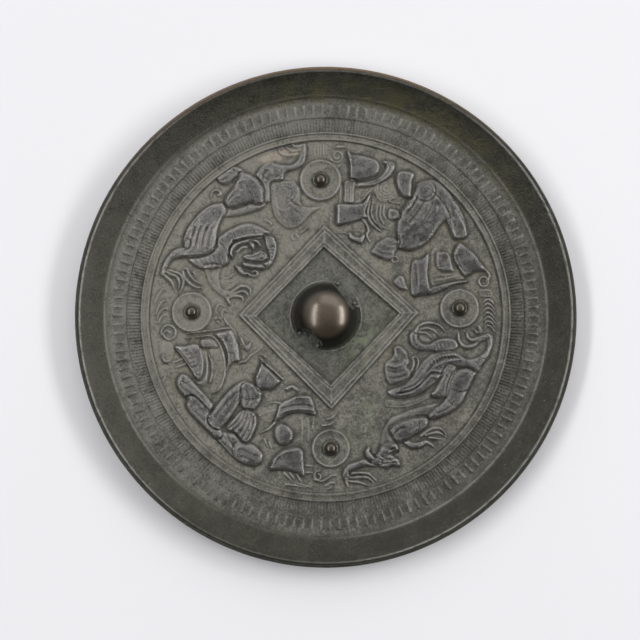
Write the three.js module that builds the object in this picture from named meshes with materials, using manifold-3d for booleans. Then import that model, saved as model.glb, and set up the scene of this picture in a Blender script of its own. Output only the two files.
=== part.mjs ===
// Ancient bronze mirror: one casting, lying on its polished face with the decorated back up.
// Millimetres, +Z up. The origin is the middle of the polished face, where the mirror rests.
import * as THREE from 'three';
import { mergeVertices } from 'three/addons/utils/BufferGeometryUtils.js';
import Module from 'manifold-3d';

// ---- Driving dimensions -------------------------------------------------------------------
const RADIUS = 100; // outer radius of the mirror
const FIELD = 3.6; // top of the flat decorated field
const CREST = 10.4; // top of the slanted rim
const FACE_FLAT = 30; // radius of the flat spot that the mirror rests on
const FACE_RISE = 2.2; // how far the convex face curves up by its edge

const RING_INNER = 70.6; // plain ring round the field
const COMB_OUTER = 79.4; // band of fine comb strokes
const TOOTH_INNER = 80.6; // band of wedge-shaped teeth
const TOOTH_OUTER = 85.3;
const RIM_FOOT = 88.7; // where the plain slope of the rim starts
const RIM_CREST = 98;

const RING_HEIGHT = 0.5; // heights over the field
const COMB_HEIGHT = 0.7;
const BAND_HEIGHT = 1.3;
const FOOT_HEIGHT = 2.1;

const TOOTH_COUNT = 146;
const TOOTH_HEIGHT = 0.8; // over its band
const TOOTH_WIDTH = 1.9; // at the rim side, level with the top of the band
const SEGMENTS = TOOTH_COUNT / 2; // two teeth stand on each side of the turned body

const KNOB_RADIUS = 13.4;
const KNOB_HEIGHT = 11.4; // over the field
const HOLE_WIDTH = 11.4; // cord hole through the knob
const HOLE_HEIGHT = 6.2;

const SQUARE_MIDDLE = [0.8, 0.2]; // the frame round the knob sits a little off, as it was cast
const SQUARE_TURN = THREE.MathUtils.degToRad(46.6);
const SQUARE_HALF = 25.9; // half of its outer side
const SQUARE_BAND = 6.2; // width of its raised band
const SQUARE_HEIGHT = 0.6;
const SQUARE_LINE = 1.1; // the raised line along each edge of the band

const NIPPLES = [[-2.1, 54.7], [53.6, 3], [2, -52.9], [-53.7, 1.5]]; // top, right, bottom, left
const NIPPLE_RADIUS = 2.6;
const NIPPLE_HEIGHT = 3.4;
const SEAT_RADIUS = 8.2; // the disc that a nipple stands on
const SEAT_HEIGHT = 0.7;

const ROOT = 1.4; // how deep the relief reaches into the plate below the field
const HIGH = 1.7; // bodies and heads
const MID = 1.3; // limbs, sleeves and drapery
const LOW = 0.9; // clouds, fillers and claws

// The design is laid out with a corner of the square at the top. The cord hole slants through it,
// and the finished solid is turned back by that slant, so that the hole lies along X.
const HOLE_SLANT = THREE.MathUtils.degToRad(48);

// ---- Solids -------------------------------------------------------------------------------
const wasm = await Module();
wasm.setup();
const { Manifold, Mesh } = wasm;

function solidFrom(geometry) {
  const bare = geometry.clone();
  bare.deleteAttribute('normal');
  bare.deleteAttribute('uv');
  const merged = mergeVertices(bare, 1e-4);
  return new Manifold(new Mesh({
    numProp: 3,
    vertProperties: new Float32Array(merged.attributes.position.array),
    triVerts: new Uint32Array(merged.index.array),
  }));
}

function geometryFrom(solid) {
  const mesh = solid.getMesh();
  const geometry = new THREE.BufferGeometry();
  geometry.setAttribute('position', new THREE.BufferAttribute(mesh.vertProperties, 3));
  geometry.setIndex(new THREE.BufferAttribute(mesh.triVerts, 1));
  geometry.computeVertexNormals();
  return geometry;
}

// A closed skin through rings with the same number of points. Each end is a fan round a hub,
// the middle of its ring unless another point is given, which makes a tip.
function loft(rings, tips = []) {
  const count = rings[0].length;
  const vertices = rings.flat();
  const triangles = [];
  for (let row = 0; row + 1 < rings.length; row += 1) {
    for (let i = 0; i < count; i += 1) {
      const a = row * count + i;
      const b = row * count + ((i + 1) % count);
      triangles.push(a, b, b + count, a, b + count, a + count);
    }
  }
  const middle = (ring) => {
    const sum = ring.reduce((total, point) => total.add(point), new THREE.Vector3());
    return sum.divideScalar(count);
  };
  const closeEnd = (hub, first, forward) => {
    const center = vertices.push(hub) - 1;
    for (let i = 0; i < count; i += 1) {
      const a = first + i;
      const b = first + ((i + 1) % count);
      triangles.push(center, forward ? a : b, forward ? b : a);
    }
  };
  const lastRing = rings[rings.length - 1];
  closeEnd(tips[0] ?? middle(rings[0]), 0, false);
  closeEnd(tips[1] ?? middle(lastRing), (rings.length - 1) * count, true);
  const geometry = new THREE.BufferGeometry().setFromPoints(vertices);
  geometry.setIndex(triangles);
  return solidFrom(geometry);
}

// A smooth line through a few [x, y] points.
function smooth(points, closed, pieces) {
  const knots = points.map(([x, y]) => new THREE.Vector3(x, y, 0));
  const line = new THREE.CatmullRomCurve3(knots, closed, 'centripetal').getPoints(pieces);
  if (closed) line.pop();
  return line;
}

// Points of an arc about a middle, angles in degrees.
function arc([x, y], radius, from, to, pieces = 4) {
  return Array.from({ length: pieces + 1 }, (unused, i) => {
    const angle = THREE.MathUtils.degToRad(from + ((to - from) * i) / pieces);
    return [x + radius * Math.cos(angle), y + radius * Math.sin(angle)];
  });
}

// ---- Relief strokes -----------------------------------------------------------------------
// A pillow with sloping sides, for bodies, heads and leaves. Its outline goes round a middle.
function mass(outline, height, pieces = outline.length) {
  let edge = smooth(outline, true, pieces);
  if (THREE.ShapeUtils.area(edge) < 0) edge = edge.reverse();
  const middle = new THREE.Vector3();
  edge.forEach((point) => middle.addScaledVector(point, 1 / edge.length));
  const inset = (distance, level) => edge.map((point) => {
    const inward = middle.clone().sub(point);
    inward.setLength(Math.min(distance, inward.length() * 0.5));
    return point.clone().add(inward).setZ(FIELD + level);
  });
  const hub = middle.clone().setZ(FIELD + height + 0.2);
  return loft([inset(-0.5, -ROOT), inset(1.3, height)], [undefined, hub]);
}

// A bar along a smooth line that runs out in a tip at each end. The section is a list of
// [sideways, up] pairs, in half widths and in heights over the field. Widths may differ by point.
function sweep(points, widths, pieces, section) {
  const line = smooth(points, false, pieces);
  const list = [widths].flat();
  const widthAt = (part) => {
    const place = part * (list.length - 1);
    const step = Math.floor(place);
    return THREE.MathUtils.lerp(list[step], list[Math.min(step + 1, list.length - 1)], place - step);
  };
  const along = (i) => {
    const ahead = line[Math.min(i + 1, line.length - 1)];
    return ahead.clone().sub(line[Math.max(i - 1, 0)]).normalize();
  };
  const rings = line.map((point, i) => {
    const side = new THREE.Vector3(-along(i).y, along(i).x, 0);
    const half = widthAt(i / (line.length - 1)) / 2;
    return section.map(([reach, level]) => (
      point.clone().addScaledVector(side, reach * half).setZ(FIELD + level)
    ));
  });
  const tip = (i, way) => {
    const reach = way * 0.55 * widthAt(i / (line.length - 1));
    return line[i].clone().addScaledVector(along(i), reach).setZ(FIELD + section[0][1]);
  };
  return loft(rings, [tip(0, -1), tip(line.length - 1, 1)]);
}

// A rounded bar, for limbs, sleeves and heavy folds.
function limb(points, widths, height, pieces = points.length - 1) {
  return sweep(points, widths, pieces, [[1.15, -ROOT], [0.5, height], [-0.5, height], [-1.15, -ROOT]]);
}

// A thin ridge on the field, for claws, curls and clouds.
function stroke(points, width, height, pieces = points.length - 1) {
  return sweep(points, width, pieces, [[1.6, -0.4], [0, height], [-1.6, -0.4]]);
}

// A thin ridge on top of a body of the given height, for feathers, pleats and folds.
function fold(points, width, height, pieces = points.length - 1) {
  return sweep(points, width, pieces, [[1.4, height - 0.6], [0, height + 0.5], [-1.4, height - 0.6]]);
}

function spiral(middle, radius, turns, start, width, height = LOW) {
  const pieces = Math.round(turns * 6);
  const points = Array.from({ length: pieces + 1 }, (unused, i) => {
    const part = i / pieces;
    return arc(middle, radius * (1 - 0.75 * part), start + 360 * turns * part, 0, 1)[0];
  });
  return stroke(points, width, height, pieces);
}

// Evenly spaced folds whose feet run from a to b and whose tips run from c to d.
function folds([a, b], [c, d], count, width, height) {
  const at = ([x0, y0], [x1, y1], part) => [x0 + (x1 - x0) * part, y0 + (y1 - y0) * part];
  return Array.from({ length: count }, (unused, i) => {
    const part = (i + 0.5) / count;
    return fold([at(a, b, part), at(c, d, part)], width, height);
  });
}

// ---- The plate with its rim, teeth, knob, square and nipples ---------------------------------
function turned(profile, segments) {
  return solidFrom(new THREE.LatheGeometry(profile.map(([r, z]) => new THREE.Vector2(r, z)), segments)
    .rotateX(Math.PI / 2));
}

function plate() {
  return turned([
    [0, 0],
    [FACE_FLAT, 0],
    [RADIUS - 1.4, FACE_RISE],
    [RADIUS, FACE_RISE + 1.2],
    [RADIUS, CREST - 1.8],
    [RIM_CREST + 0.4, CREST],
    [RIM_CREST - 0.4, CREST],
    [RIM_FOOT, FIELD + FOOT_HEIGHT],
    [TOOTH_OUTER, FIELD + BAND_HEIGHT],
    [COMB_OUTER + 0.5, FIELD + BAND_HEIGHT - 0.1],
    [COMB_OUTER, FIELD + COMB_HEIGHT],
    [RING_INNER, FIELD + RING_HEIGHT],
    [RING_INNER - 0.4, FIELD],
    [0, FIELD],
  ], SEGMENTS);
}

// One tooth: a wedge, wide at the rim side and sinking away toward the middle.
function tooth(index) {
  const band = FIELD + BAND_HEIGHT;
  const corners = [
    new THREE.Vector3(TOOTH_INNER, 0, band - 0.3),
    new THREE.Vector3(TOOTH_OUTER - 0.2, TOOTH_WIDTH, band - TOOTH_HEIGHT),
    new THREE.Vector3(TOOTH_OUTER - 0.2, 0, band + TOOTH_HEIGHT),
    new THREE.Vector3(TOOTH_OUTER - 0.2, -TOOTH_WIDTH, band - TOOTH_HEIGHT),
  ];
  const wedge = new THREE.BufferGeometry().setFromPoints(corners);
  wedge.setIndex([0, 2, 1, 0, 3, 2, 0, 1, 3, 1, 2, 3]);
  return solidFrom(wedge.rotateZ(((index + 0.5) / TOOTH_COUNT) * 2 * Math.PI));
}

function knob() {
  const rows = 5;
  const dome = Array.from({ length: rows + 1 }, (unused, i) => {
    const angle = (i / rows) * (Math.PI / 2);
    return [KNOB_RADIUS * Math.cos(angle), FIELD + KNOB_HEIGHT * Math.sin(angle)];
  });
  dome[rows][0] = 0;
  return turned([[0, FIELD - ROOT], [KNOB_RADIUS, FIELD - ROOT], ...dome], 22);
}

// The arched passage for the cord, straight through the knob on the level of the field.
function cordHole() {
  const arch = new THREE.Shape();
  arch.moveTo(HOLE_WIDTH / 2, FIELD - 2 * ROOT);
  arch.lineTo(HOLE_WIDTH / 2, FIELD + HOLE_HEIGHT * 0.45);
  arch.absellipse(0, FIELD + HOLE_HEIGHT * 0.45, HOLE_WIDTH / 2, HOLE_HEIGHT * 0.55, 0, Math.PI);
  arch.lineTo(-HOLE_WIDTH / 2, FIELD - 2 * ROOT);
  const bore = new THREE.ExtrudeGeometry(arch, {
    depth: 3 * KNOB_RADIUS, bevelEnabled: false, curveSegments: 6,
  });
  bore.translate(0, 0, -1.5 * KNOB_RADIUS).rotateX(Math.PI / 2).rotateZ(Math.PI / 2 + HOLE_SLANT);
  return solidFrom(bore);
}

function squareRing(half, width, height) {
  const corners = (reach) => [[1, 1], [-1, 1], [-1, -1], [1, -1]]
    .map(([x, y]) => new THREE.Vector2(x * reach, y * reach));
  const outline = new THREE.Shape(corners(half));
  outline.holes.push(new THREE.Path(corners(half - width)));
  const bevel = 0.3;
  const ring = new THREE.ExtrudeGeometry(outline, {
    depth: ROOT + height - bevel,
    bevelThickness: bevel,
    bevelSize: bevel,
    bevelOffset: -bevel,
    bevelSegments: 1,
  });
  ring.rotateZ(SQUARE_TURN).translate(...SQUARE_MIDDLE, FIELD - ROOT);
  return solidFrom(ring);
}

function squareFrame() {
  return [
    squareRing(SQUARE_HALF, SQUARE_BAND, SQUARE_HEIGHT),
    squareRing(SQUARE_HALF, SQUARE_LINE, SQUARE_HEIGHT + 0.4),
    squareRing(SQUARE_HALF - SQUARE_BAND + SQUARE_LINE, SQUARE_LINE, SQUARE_HEIGHT + 0.4),
  ];
}

function nipple([x, y]) {
  const seat = turned([
    [0, FIELD - ROOT],
    [SEAT_RADIUS, FIELD - ROOT],
    [SEAT_RADIUS - 0.3, FIELD + SEAT_HEIGHT],
    [0, FIELD + SEAT_HEIGHT],
  ], 14);
  const stud = turned([
    [0, FIELD],
    [NIPPLE_RADIUS, FIELD],
    [NIPPLE_RADIUS, FIELD + SEAT_HEIGHT + 0.8],
    [NIPPLE_RADIUS * 0.7, FIELD + NIPPLE_HEIGHT * 0.85],
    [0, FIELD + NIPPLE_HEIGHT],
  ], 8);
  return [seat, stud].map((solid) => solid.translate(x, y, 0));
}

// ---- Figures, in the order that they stand round the field -------------------------------------
// Upper left: a tiger that strides round the field and looks back with an open mouth.
function tigerBody() {
  return [
    mass([[-57.5, 28], [-56.5, 35], [-52, 41], [-45, 45.3], [-40.6, 45], [-41, 40], [-43.3, 31],
      [-46, 26], [-52, 24]], HIGH),
    mass([[-55.5, 23], [-50, 19], [-44, 18.7], [-39.5, 21.5], [-40, 27], [-46, 27]], HIGH),
    mass([[-40.3, 46.5], [-37.5, 43.6], [-31, 45.3], [-25, 45.6], [-25, 51], [-31, 55.5],
      [-35, 53], [-39, 50]], HIGH),
    limb([[-42, 41], [-35, 42], [-28, 44], [-24, 47]], 3.6, MID),
    limb([[-43, 31], [-38, 36], [-31, 37.4], [-22, 33.4], [-19.5, 28], [-21, 21]], [3, 3.6, 2.6], HIGH),
  ];
}

function tigerHead() {
  return [
    limb([[-37, 23.5], [-39.2, 25.7], [-34.7, 30.6], [-29.4, 31.8], [-22, 32]], [2.4, 3.2, 2.6], HIGH),
    limb([[-32.5, 20.5], [-27, 19], [-23, 19], [-20.8, 23]], [2, 3, 2.4], MID),
    stroke([[-34.7, 20], [-33.5, 17.2], [-31.8, 16.6], [-30, 17.5]], 1.4, LOW),
    stroke([[-36, 26], [-33.5, 27.7], [-31, 27.5]], 1.3, MID),
    limb([[-29.8, 29.6], [-29, 25.6]], [2, 0.7], MID, 1),
    mass([[-27.5, 24.5], [-26, 26], [-23.8, 25.4], [-23.6, 23.2], [-25.4, 22.2], [-27.2, 22.8]], MID, 6),
    spiral([-28.6, 17.1], 1.6, 0.8, 90, 0.9),
  ];
}

function tigerLegs() {
  return [
    limb([[-57, 26], [-61, 25], [-64, 22], [-65.2, 18]], [4, 3.4, 2.6], MID),
    stroke([[-64.5, 17], [-62, 14.5], [-61, 11]], [1.6, 0.9], LOW),
    stroke([[-63, 17.5], [-59.5, 16], [-58.6, 13], [-59, 10.5]], [1.6, 0.9], LOW),
    limb([[-46, 19], [-45, 13], [-40, 8.7]], [5, 4.4, 3], MID),
    stroke([[-37.5, 10], [-34.5, 12.2], [-31.5, 11.8], [-30.2, 10]], [1.6, 0.9], LOW),
    stroke([[-38.5, 7.8], [-34, 7.8], [-33, 6.2]], [1.6, 0.9], LOW),
    limb([[-32, 53], [-33, 57], [-36.5, 58.8], [-42, 55.3]], [5, 5, 3.4], MID),
    limb([[-26, 54], [-23, 59], [-18, 59.5], [-12, 60.5], [-9, 64], [-9, 68]], [5, 4.6, 3], MID),
    stroke([[-11, 65], [-15, 65.2], [-18.5, 68]], [1.6, 0.9], LOW),
    stroke([[-23, 57], [-20, 55], [-17, 55.5]], [1.8, 1], LOW),
  ];
}

function tigerFeathers() {
  return [
    ...folds([[-54.6, 28.4], [-45.6, 30.6]], [[-52.6, 36.4], [-43.6, 38.6]], 3, 1.8, HIGH),
    ...folds([[-38, 48], [-34.6, 45]], [[-32.6, 52.4], [-28.6, 47]], 2, 1.6, HIGH),
    stroke([[-57.3, 18], [-56, 14.5], [-53, 12], [-50, 11.2]], 1.6, LOW),
    stroke([[-53, 17.5], [-53, 15.6], [-49, 12.8]], 1.3, LOW),
    stroke([[-45.5, 45.4], [-46, 48], [-44, 50.6], [-42.3, 49]], 1.2, LOW),
  ];
}

// Top: a cloud beside the tiger, and an attendant with a streamer who faces the seated lord.
function cloud(middle, radii, from, to, width = 1) {
  return radii.map((radius) => stroke(arc(middle, radius, from, to), width, LOW, 3));
}

function topAttendant() {
  return [
    mass([[9.2, 67], [8.3, 64], [9.5, 59], [9.4, 54.6], [14, 53.8], [20, 55.8], [22.3, 60],
      [18, 64.5], [12, 65]], HIGH),
    limb([[12, 51.8], [18, 52.2], [25, 55.3], [28, 60], [27, 62], [23.7, 62.3]], [1.6, 2.6, 2], MID),
    stroke([[6.2, 54], [6.4, 46]], 1.2, LOW),
    stroke([[9.4, 53.4], [9.8, 46]], 1.2, LOW),
    mass([[4.8, 44.7], [4.2, 37], [8.5, 37], [15.6, 39.5], [17, 44], [18.6, 49.4], [14.6, 46.4],
      [9, 45.2]], MID),
    stroke([[17.3, 46.5], [17.3, 42], [19, 38], [22, 34]], 1.2, LOW),
    stroke([[15.7, 38], [17, 35], [16.6, 32], [18, 29.5]], 1.2, LOW),
    stroke([[21.3, 45], [20.8, 41], [22, 37.5], [24.5, 36]], 1, LOW),
    spiral([4.5, 64], 2.5, 1.1, 200, 1),
  ];
}

// Upper right: a lord seated in wide sleeves on a low mat, with a cap behind the head.
function lord() {
  return [
    mass([[28, 53.5], [29.5, 58], [34.5, 58.3], [36, 56], [34.7, 49], [32, 48], [29, 50.6]], HIGH + 0.2, 9),
    mass(arc([39.5, 50.5], 3.9, 0, 315, 7), HIGH, 8),
    mass([[34.5, 48], [39, 52], [44, 48.5], [48.2, 41], [45, 34], [40, 29], [34, 26.8], [28.6, 28.2],
      [28.2, 36], [31, 43]], HIGH, 14),
    limb([[44, 50], [50, 44], [53.2, 38.6], [53.8, 34]], [6, 6.6, 6], HIGH),
    limb([[50, 31.6], [53.5, 30.6], [56.8, 31]], 2.2, MID, 2),
    mass([[25, 38.2], [25.4, 44], [29, 43.4], [29.2, 38.4]], MID, 4),
    mass([[18.5, 25.8], [21, 30], [25, 31.6], [28.4, 28], [26, 20.4]], LOW + 0.2, 6),
    ...folds([[46, 45.5], [34.5, 46.5]], [[37.5, 35.5], [30.6, 40]], 3, 2, HIGH),
    ...folds([[43.4, 36], [40.4, 31]], [[33, 34], [31.6, 29.6]], 2, 1.8, HIGH),
    ...cloud([24.5, 51], [2.4, 4.4], 100, 250),
  ];
}

// Right: a dancer with a drum, and nested feathers beside the nipple.
function dancer() {
  return [
    mass([[27.4, 13.4], [28.6, 16], [31, 16.2], [32.2, 12], [31.6, 10.3], [29.4, 11.4]], MID, 7),
    mass([[34.2, 8.6], [34.2, 20], [38.5, 23], [41.4, 24.2], [41.2, 18], [43, 10.6], [38, 9.2]], HIGH, 9),
    ...folds([[36, 19.6], [40.6, 20.6]], [[36, 11], [41, 12.2]], 2, 1.6, HIGH),
    limb([[42, 10], [48, 11], [54, 12.8], [57, 13.6]], [2.2, 2, 1.4], MID),
    stroke([[43, 12.7], [49, 13.6], [55, 16.3]], [1.6, 1.2], LOW),
    mass([[44.2, 18], [44.6, 24.2], [47.4, 25.2], [49.4, 22], [48.6, 17.4]], HIGH, 7),
    mass([[51.6, 24], [52.2, 28], [55.6, 28.8], [60, 25], [64, 19.4], [60, 17.7], [56.3, 16.2],
      [53, 20]], HIGH),
    spiral([63.3, 13.8], 1.8, 0.9, 30, 0.9),
    ...[0, 1, 2].map((row) => stroke([[63 + 0.6 * row, 6.6 - 2.4 * row], [65.6, 5.6 - 2.3 * row],
      [67.4, 2.6 - 2.1 * row]], 1, LOW, 2)),
  ];
}

// Lower right: a dragon that coils from the square to the rim and rears its head at the bottom.
function dragonBody() {
  return [
    limb([[40, -39.4], [46, -36.4], [51, -32], [55, -26]], [7, 9, 9.6], HIGH),
    mass([[50, -24.5], [52, -20.8], [57, -20.6], [60.4, -24], [59.6, -29.6], [54, -32.6],
      [49.6, -29.6]], HIGH + 0.2, 10),
    limb([[49.4, -20], [46, -24], [44.5, -28], [44, -31.5]], [3.6, 4.6, 3.6], MID),
    limb([[56, -18.4], [62, -17], [65.2, -12.5], [65.2, -9]], [4, 3.6, 2.4], MID),
    stroke([[62, -9], [57, -12], [53.6, -8.4]], [1.8, 1], LOW),
    stroke([[62, -7.6], [58, -9], [56.7, -6.6]], [1.5, 0.9], LOW),
    limb([[27, -30.5], [33, -30.5], [39, -26.5], [43, -20], [47, -16], [51, -15], [55, -17.5]],
      [3, 4.8, 4.8, 3.4], MID, 10),
    limb([[22.6, -54], [23, -46], [25, -42], [30, -40], [38, -37.4], [45, -35.4]], [5, 3.6, 3], MID),
  ];
}

function dragonLimbs() {
  return [
    limb([[29, -46.5], [38, -42]], [7, 7.6], HIGH),
    limb([[31, -50], [33, -52.3], [36, -52.8], [40, -51.5]], [3, 2], MID, 3),
    stroke([[35, -49], [37.5, -50], [42, -46], [45, -45.3], [48, -47.5]], [1.6, 0.9], LOW),
    stroke([[40, -50.5], [43, -52]], [1.4, 0.9], LOW),
    limb([[37, -5], [35, -8], [37, -11.6], [41, -12], [51, -10.5]], [2.6, 4, 3], MID),
    stroke([[38, -3], [43, -3], [47.7, -6.3]], [1.5, 0.9], LOW),
    stroke([[38.5, -6.8], [42.2, -8.3]], [1.4, 0.9], LOW),
    limb([[23, -58.5], [17, -58], [12, -59], [8.5, -61.5], [7.5, -64.5]], [3.6, 3.4, 2.4], MID),
    stroke([[10, -64.8], [15, -64], [18.5, -67]], [1.5, 0.9], LOW),
  ];
}

function dragonHead() {
  return [
    mass([[20, -55], [23, -50.6], [27.6, -50.4], [28.4, -53.6], [26.6, -55.6], [29.6, -58],
      [28.4, -61], [23.6, -60.6]], HIGH + 0.2, 10),
    limb([[16, -53], [18, -55.6], [20, -57.5]], [2, 3.2, 2.4], MID, 2),
    stroke([[28, -15], [28, -12.6], [30, -12], [33, -16], [32.4, -20], [30, -21.6]], 1.6, MID),
    mass([[24.4, -19.6], [26.6, -17.6], [29.6, -20.4], [30, -25], [27, -26.6], [24.6, -24]], MID, 7),
    stroke([[35, -17], [36.6, -18], [35.6, -21], [32, -25.5]], [1.4, 1.6, 1], LOW),
  ];
}

// Bottom: an attendant kneeling by a cushion, seen from the side.
function bottomAttendant() {
  return [
    mass(arc([-17, -47.5], 4.1, 0, 315, 7), HIGH + 0.2, 9),
    mass([[-22.2, -61.2], [-21.4, -57], [-17, -53.3], [-11, -52.3], [-9, -55], [-8.7, -63.4],
      [-14, -61.8]], HIGH, 10),
    mass([[-18, -35.4], [-12, -31.9], [-7, -31.9], [-4.8, -35], [-4.2, -39.4], [-12, -38.3],
      [-19.6, -41.6]], MID, 10),
    limb([[-27, -47], [-22.6, -44.4], [-19.8, -40], [-18.4, -35]], [1.8, 2.4, 1.6], MID),
    stroke([[-18.6, -34.6], [-22, -35], [-26, -36.6]], 1.4, LOW),
    stroke([[-9.6, -43.4], [-6.8, -43.2]], 1.2, LOW),
    stroke([[-9.3, -47.4], [-6.6, -47.2]], 1.2, LOW),
    stroke([[-16, -67.3], [-10, -68], [-5.6, -68.6]], 1.1, LOW),
    spiral([-3, -64.8], 1.8, 0.8, 90, 1),
    stroke([[-1.4, -64], [1.4, -63.4], [4, -63.7]], 1.1, LOW),
  ];
}

// Lower left: a lady seated on a stool, in a pleated skirt, with long sleeves held out.
function lady() {
  return [
    limb([[-58, -27], [-53, -31], [-48, -36.4]], [5, 6, 5.4], HIGH),
    limb([[-53, -36], [-49, -40], [-45.4, -44.4]], [5, 6, 5], HIGH),
    limb([[-44, -41], [-39, -34.6], [-33.4, -29.6]], [6, 7, 6], HIGH),
    mass([[-33, -28.6], [-28.6, -30.2], [-26.4, -32], [-27.6, -36.8], [-32, -37.4], [-35, -34]], HIGH, 8),
    mass([[-39, -44], [-34.5, -38], [-29.4, -38], [-27.4, -42], [-29, -47], [-32.4, -50],
      [-36.2, -46.8]], MID + 0.2, 10),
    ...folds([[-32.4, -39.4], [-29.4, -44.6]], [[-36.8, -43], [-32.8, -48]], 3, 1.8, MID + 0.2),
    mass([[-28, -26], [-26.4, -21], [-25.6, -19], [-22.6, -22], [-19, -25.6], [-21.6, -29],
      [-26.4, -29]], HIGH + 0.2, 10),
    stroke([[-24, -19.6], [-21, -22], [-17.8, -25.2]], 1.2, HIGH),
    mass([[-43.6, -48.6], [-42, -46.8], [-36.8, -47.2], [-34.8, -50], [-37, -54.6], [-41, -52]], MID, 8),
    limb([[-39.4, -50.6], [-34, -53.6], [-29.8, -55.6]], [6, 6.8, 6], HIGH),
  ];
}

// Left: an attendant who holds up a ribbed fan, before hangings that fall from one long fold.
function leftAttendant() {
  return [
    mass([[-60, -12.4], [-53, -11], [-49.6, -13], [-48.4, -19], [-50.4, -25.4], [-54, -21.5],
      [-57.4, -16.6]], HIGH, 10),
    ...folds([[-56.4, -13.4], [-52.2, -21.4]], [[-51, -13], [-50, -21]], 3, 1.6, HIGH),
    limb([[-46.8, -16], [-45.5, -20.4], [-46.2, -26], [-49.4, -27.4]], [1.2, 2, 1.2], MID),
    limb([[-55, -8.6], [-47, -7.6], [-42.4, -12], [-40, -20], [-41.6, -28], [-45.4, -30.6]],
      [1.4, 2.2, 1.4], MID, 8),
    stroke([[-49.7, -11.2], [-46.6, -12], [-43.6, -12.4]], 1.8, MID),
    mass([[-43.6, -7.6], [-38, -6], [-35.4, -10], [-34.5, -17.6], [-39.6, -21], [-40.4, -14]], HIGH, 9),
    ...folds([[-41, -9.4], [-37, -8.4]], [[-39, -17.4], [-35.8, -16]], 2, 1.6, HIGH),
    stroke([[-34.6, -18.6], [-32, -18], [-28, -14.5], [-25.5, -12.5]], 1.2, LOW),
    stroke([[-34.5, -8], [-31.3, -14]], 1.4, LOW),
    stroke([[-29.5, -10], [-31.3, -14]], 1.2, LOW),
    limb([[-64.4, -10.4], [-63.6, -14], [-64.6, -18]], [2.6, 3, 1.6], MID),
    spiral([-63, -6.5], 2.6, 1.1, 180, 1),
  ];
}

function leftClouds() {
  return [
    stroke([[-68.5, 6], [-67, 9], [-65.5, 11], [-64.5, 10.5]], 1.1, LOW),
    stroke([[-68, 1], [-67, 4], [-65, 6.5], [-63.8, 5.7]], 1.1, LOW),
    stroke([[-44, 1], [-43.5, 4], [-41.5, 4.5]], 1, LOW),
    ...cloud([-15.6, 48.6], [3, 5.2], 215, 330),
    stroke([[-21, 42.5], [-18.6, 37.4], [-15, 35.3], [-10.6, 37], [-6.6, 41.6], [-2.5, 43.5]], 1.3, LOW),
  ];
}

// ---- One casting -------------------------------------------------------------------------------
function mirror() {
  const relief = [
    ...squareFrame(),
    ...NIPPLES.flatMap(nipple),
    ...tigerBody(), ...tigerHead(), ...tigerLegs(), ...tigerFeathers(),
    ...topAttendant(), ...lord(), ...dancer(),
    ...dragonBody(), ...dragonLimbs(), ...dragonHead(),
    ...bottomAttendant(), ...lady(), ...leftAttendant(), ...leftClouds(),
  ];
  const teeth = Array.from({ length: TOOTH_COUNT }, (unused, index) => tooth(index));
  const pierced = knob().subtract(cordHole());
  const casting = Manifold.union([plate(), ...teeth, pierced, ...relief]);
  const turnBack = -THREE.MathUtils.radToDeg(HOLE_SLANT);
  return geometryFrom(casting.rotate([0, 0, turnBack]));
}

const bronze = new THREE.MeshStandardMaterial({ color: 0x5b5c55, roughness: 0.45, metalness: 1 });
const part = new THREE.Group();
const body = new THREE.Mesh(mirror(), bronze);
body.name = 'mirror';
part.add(body);

export default part;
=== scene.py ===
# %% [markdown]
# # An ancient bronze mirror, seen on its cast back
# The piece is one casting: a heavy rim, a band of wedge teeth, a band of fine comb strokes, a field of
# figures in low relief, a square round the middle, and a pierced knob for the cord. It lies on its
# polished face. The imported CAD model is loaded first, and every size below stays inside its box.

import math

import bpy
import numpy as np
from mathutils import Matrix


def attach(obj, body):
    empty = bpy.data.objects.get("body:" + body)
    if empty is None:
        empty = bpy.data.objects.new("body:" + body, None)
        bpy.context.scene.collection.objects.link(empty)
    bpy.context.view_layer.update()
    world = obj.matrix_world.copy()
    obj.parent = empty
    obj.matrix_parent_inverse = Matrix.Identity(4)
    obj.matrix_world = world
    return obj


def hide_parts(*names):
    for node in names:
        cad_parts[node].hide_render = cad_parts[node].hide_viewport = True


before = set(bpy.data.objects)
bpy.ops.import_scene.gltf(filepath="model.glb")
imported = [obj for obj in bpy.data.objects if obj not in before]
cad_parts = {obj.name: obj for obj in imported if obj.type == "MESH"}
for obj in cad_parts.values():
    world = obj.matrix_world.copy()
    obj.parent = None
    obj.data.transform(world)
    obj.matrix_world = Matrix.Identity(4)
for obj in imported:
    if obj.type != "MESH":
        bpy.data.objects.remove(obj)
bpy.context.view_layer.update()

# %% [markdown]
# ## The camera
# The mirror is looked at from almost straight above. The cord hole runs along X, but in this view it
# slants from lower left to upper right, so the camera stands round at a slant too. A long lens keeps
# the circle a circle. Sizes in this file are in millimetres, and one factor turns them into metres.

# %% Camera
MM = 0.001
SLANT = math.radians(48)
LENS = 100
SENSOR = 36
VIEW_WIDTH = 255.5
STEEPNESS = math.radians(87)
AIM = (-2.3, -1.7, 6.0)


def placed(points):
    """Points laid out as the mirror is looked at, turned so that the cord hole runs along X, in metres."""
    points = np.array(points, float)
    turned = points.copy()
    turned[..., 0] = points[..., 0] * math.cos(SLANT) + points[..., 1] * math.sin(SLANT)
    turned[..., 1] = points[..., 1] * math.cos(SLANT) - points[..., 0] * math.sin(SLANT)
    return turned * MM


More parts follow.
